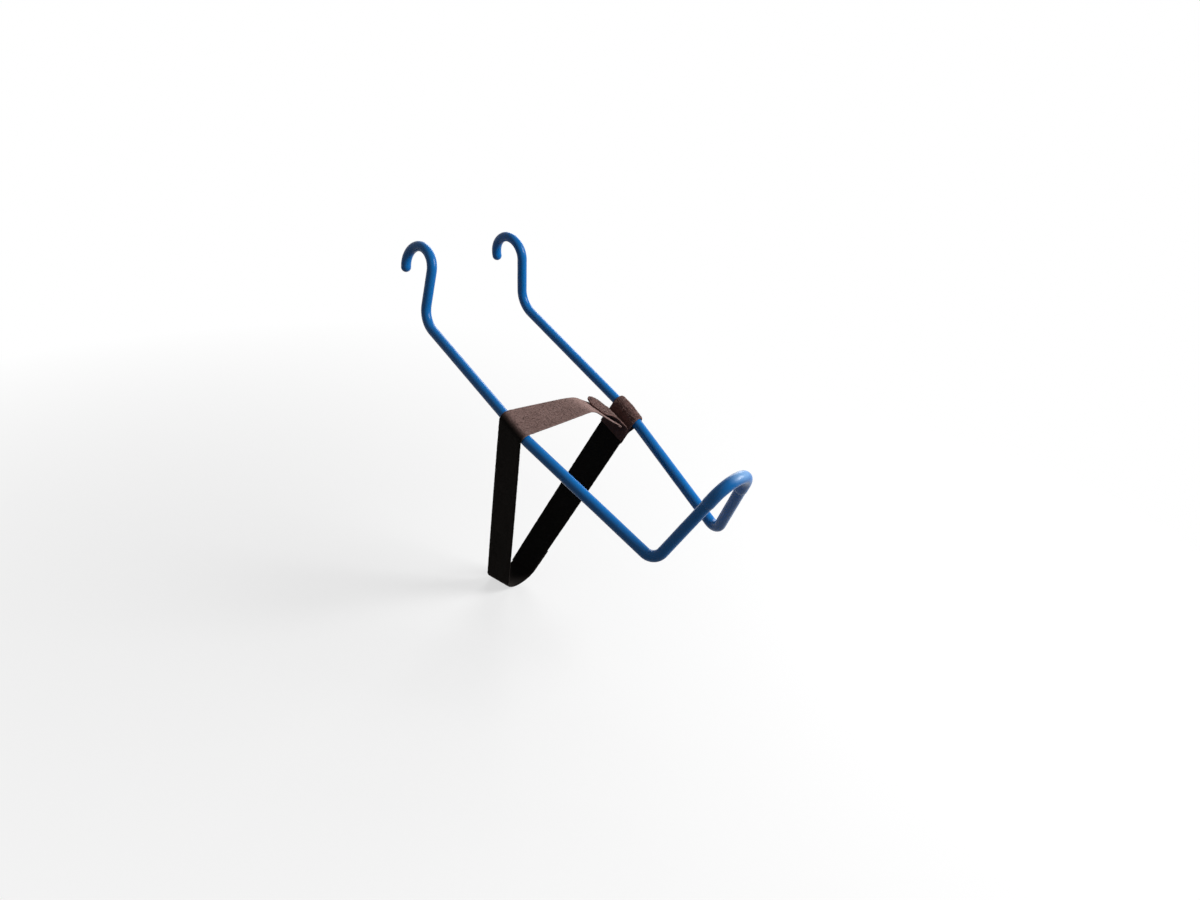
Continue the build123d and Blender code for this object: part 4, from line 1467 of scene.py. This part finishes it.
# %% One stitch
STITCH_LENGTH = 2.4 * mm
STITCH_PITCH = 3.6 * mm
SEAM_MARGIN = 3 * mm
THREAD_RADIUS = 0.15 * mm
STITCH_ARCH = 0.25 * mm
STITCH_SUNK = 0.2 * mm
STITCH_TWIST = 0.75


def stitch(mesh, place, lengthwise):
    """Two twisted strands, laid along the tape or across it."""
    steps = 8
    made_verts = []
    for ply in (0, pi):
        start = Vector((-STITCH_LENGTH / 2, 0, 0)) + Vector((0, cos(ply), sin(ply))) * THREAD_RADIUS
        turn = Matrix.Rotation(pi / 2, 4, "Y")
        disc = bmesh.ops.create_circle(mesh, segments=5, radius=THREAD_RADIUS, cap_ends=True,
                                       matrix=Matrix.Translation(start) @ turn)
        geom = list({part for vert in disc["verts"]
                     for part in (vert, *vert.link_edges, *vert.link_faces)})
        made_verts += disc["verts"]
        for _ in range(steps):
            geom = bmesh.ops.extrude_face_region(mesh, geom=geom)["geom"]
            verts = [part for part in geom if isinstance(part, bmesh.types.BMVert)]
            bmesh.ops.rotate(mesh, verts=verts, cent=(0, 0, 0),
                             matrix=Matrix.Rotation(2 * pi * STITCH_TWIST / steps, 3, "X"))
            bmesh.ops.translate(mesh, verts=verts, vec=(STITCH_LENGTH / steps, 0, 0))
            made_verts += verts
    for vert in made_verts:
        vert.co.z += STITCH_ARCH * cos(pi * vert.co.x / STITCH_LENGTH) - STITCH_SUNK
    if not lengthwise:
        quarter = Matrix.Rotation(pi / 2, 3, "Z")
        bmesh.ops.rotate(mesh, verts=made_verts, cent=(0, 0, 0), matrix=quarter)
    bmesh.ops.translate(mesh, verts=made_verts, vec=place)


# %% Rows and boxes of stitches
def row_across(mesh, distance, height):
    """A row of stitches across a tape, clear of the rows along its edges."""
    room = TAPE_WIDTH - 2 * SEAM_MARGIN - STITCH_PITCH
    count = int(room / STITCH_PITCH) + 1
    for step in range(count):
        stitch(mesh, Vector((distance, (step - (count - 1) / 2) * STITCH_PITCH, height)), False)


def sewn_box(start, end, height):
    """A box of stitches inside a seam: a row across each end and one along each edge."""
    mesh = bmesh.new()
    first, last = start + SEAM_MARGIN, end - SEAM_MARGIN
    row_across(mesh, first, height)
    row_across(mesh, last, height)
    count = int((last - first) / STITCH_PITCH)
    for step in range(count):
        for edge in (-1, 1):
            place = Vector((first + (last - first) * (step + 0.5) / count,
                            edge * (TAPE_WIDTH / 2 - SEAM_MARGIN), height))
            stitch(mesh, place, True)
    return mesh


def sewn_piece(mesh, name, way, body, node, face=1, sway=None):
    """Turns a seam to the face it shows on, lays it and puts it on its body."""
    bmesh.ops.recalc_face_normals(mesh, faces=mesh.faces)
    if face < 0:
        over = Matrix.Rotation(pi, 3, "X")
        bmesh.ops.rotate(mesh, verts=mesh.verts, cent=(0, 0, 0), matrix=over)
    laid(mesh, way, sway)
    made = piece(mesh, name, sewing_thread)
    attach(made, body)
    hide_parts(node)
    return made


# %% The four seams
THREAD_PROUD = 0.12 * mm
EYE_SEAM_RUN = 16 * mm
HEM_ROW = 4 * mm
lap_box = sewn_box(loop_way.length - LAP_LENGTH, loop_way.length, BODY_ABOVE + 0.15 * mm)
lap_seam = sewn_piece(lap_box, "lap_seam", loop_way, "holder", "lap_stitching")
eye_box = sewn_box(hook_way.length - EYE_SEAM_RUN, hook_way.length, 0.95 * mm)
eye_seam = sewn_piece(eye_box, "eye_seam", hook_way, "holder", "eye_stitching",
                      face=-1, sway=follow_arm)
tab_box = sewn_box(patch_place, tab_way.length, tab_thickness / 2 + THREAD_PROUD)
tab_seam = sewn_piece(tab_box, "tab_seam", tab_way, "tab", "tab_stitching", sway=corner_up)
hem_mesh = bmesh.new()
hem_turn = HEM_LENGTH + pi * FOLD_RADIUS / 2
for away in (-HEM_ROW, HEM_ROW):
    row_across(hem_mesh, hem_turn + away, FOLDED_HALF + THREAD_PROUD)
hem_seam = sewn_piece(hem_mesh, "hem_seam", loop_way, "cross_run", "hem_stitching")

# %% [markdown]
# ## The cloth's size
#
# A tape can't stretch, so the size it was cut to is part of the part.

# %% The tapes' sizes
print("four tapes and patches, at the sizes they were cut to")
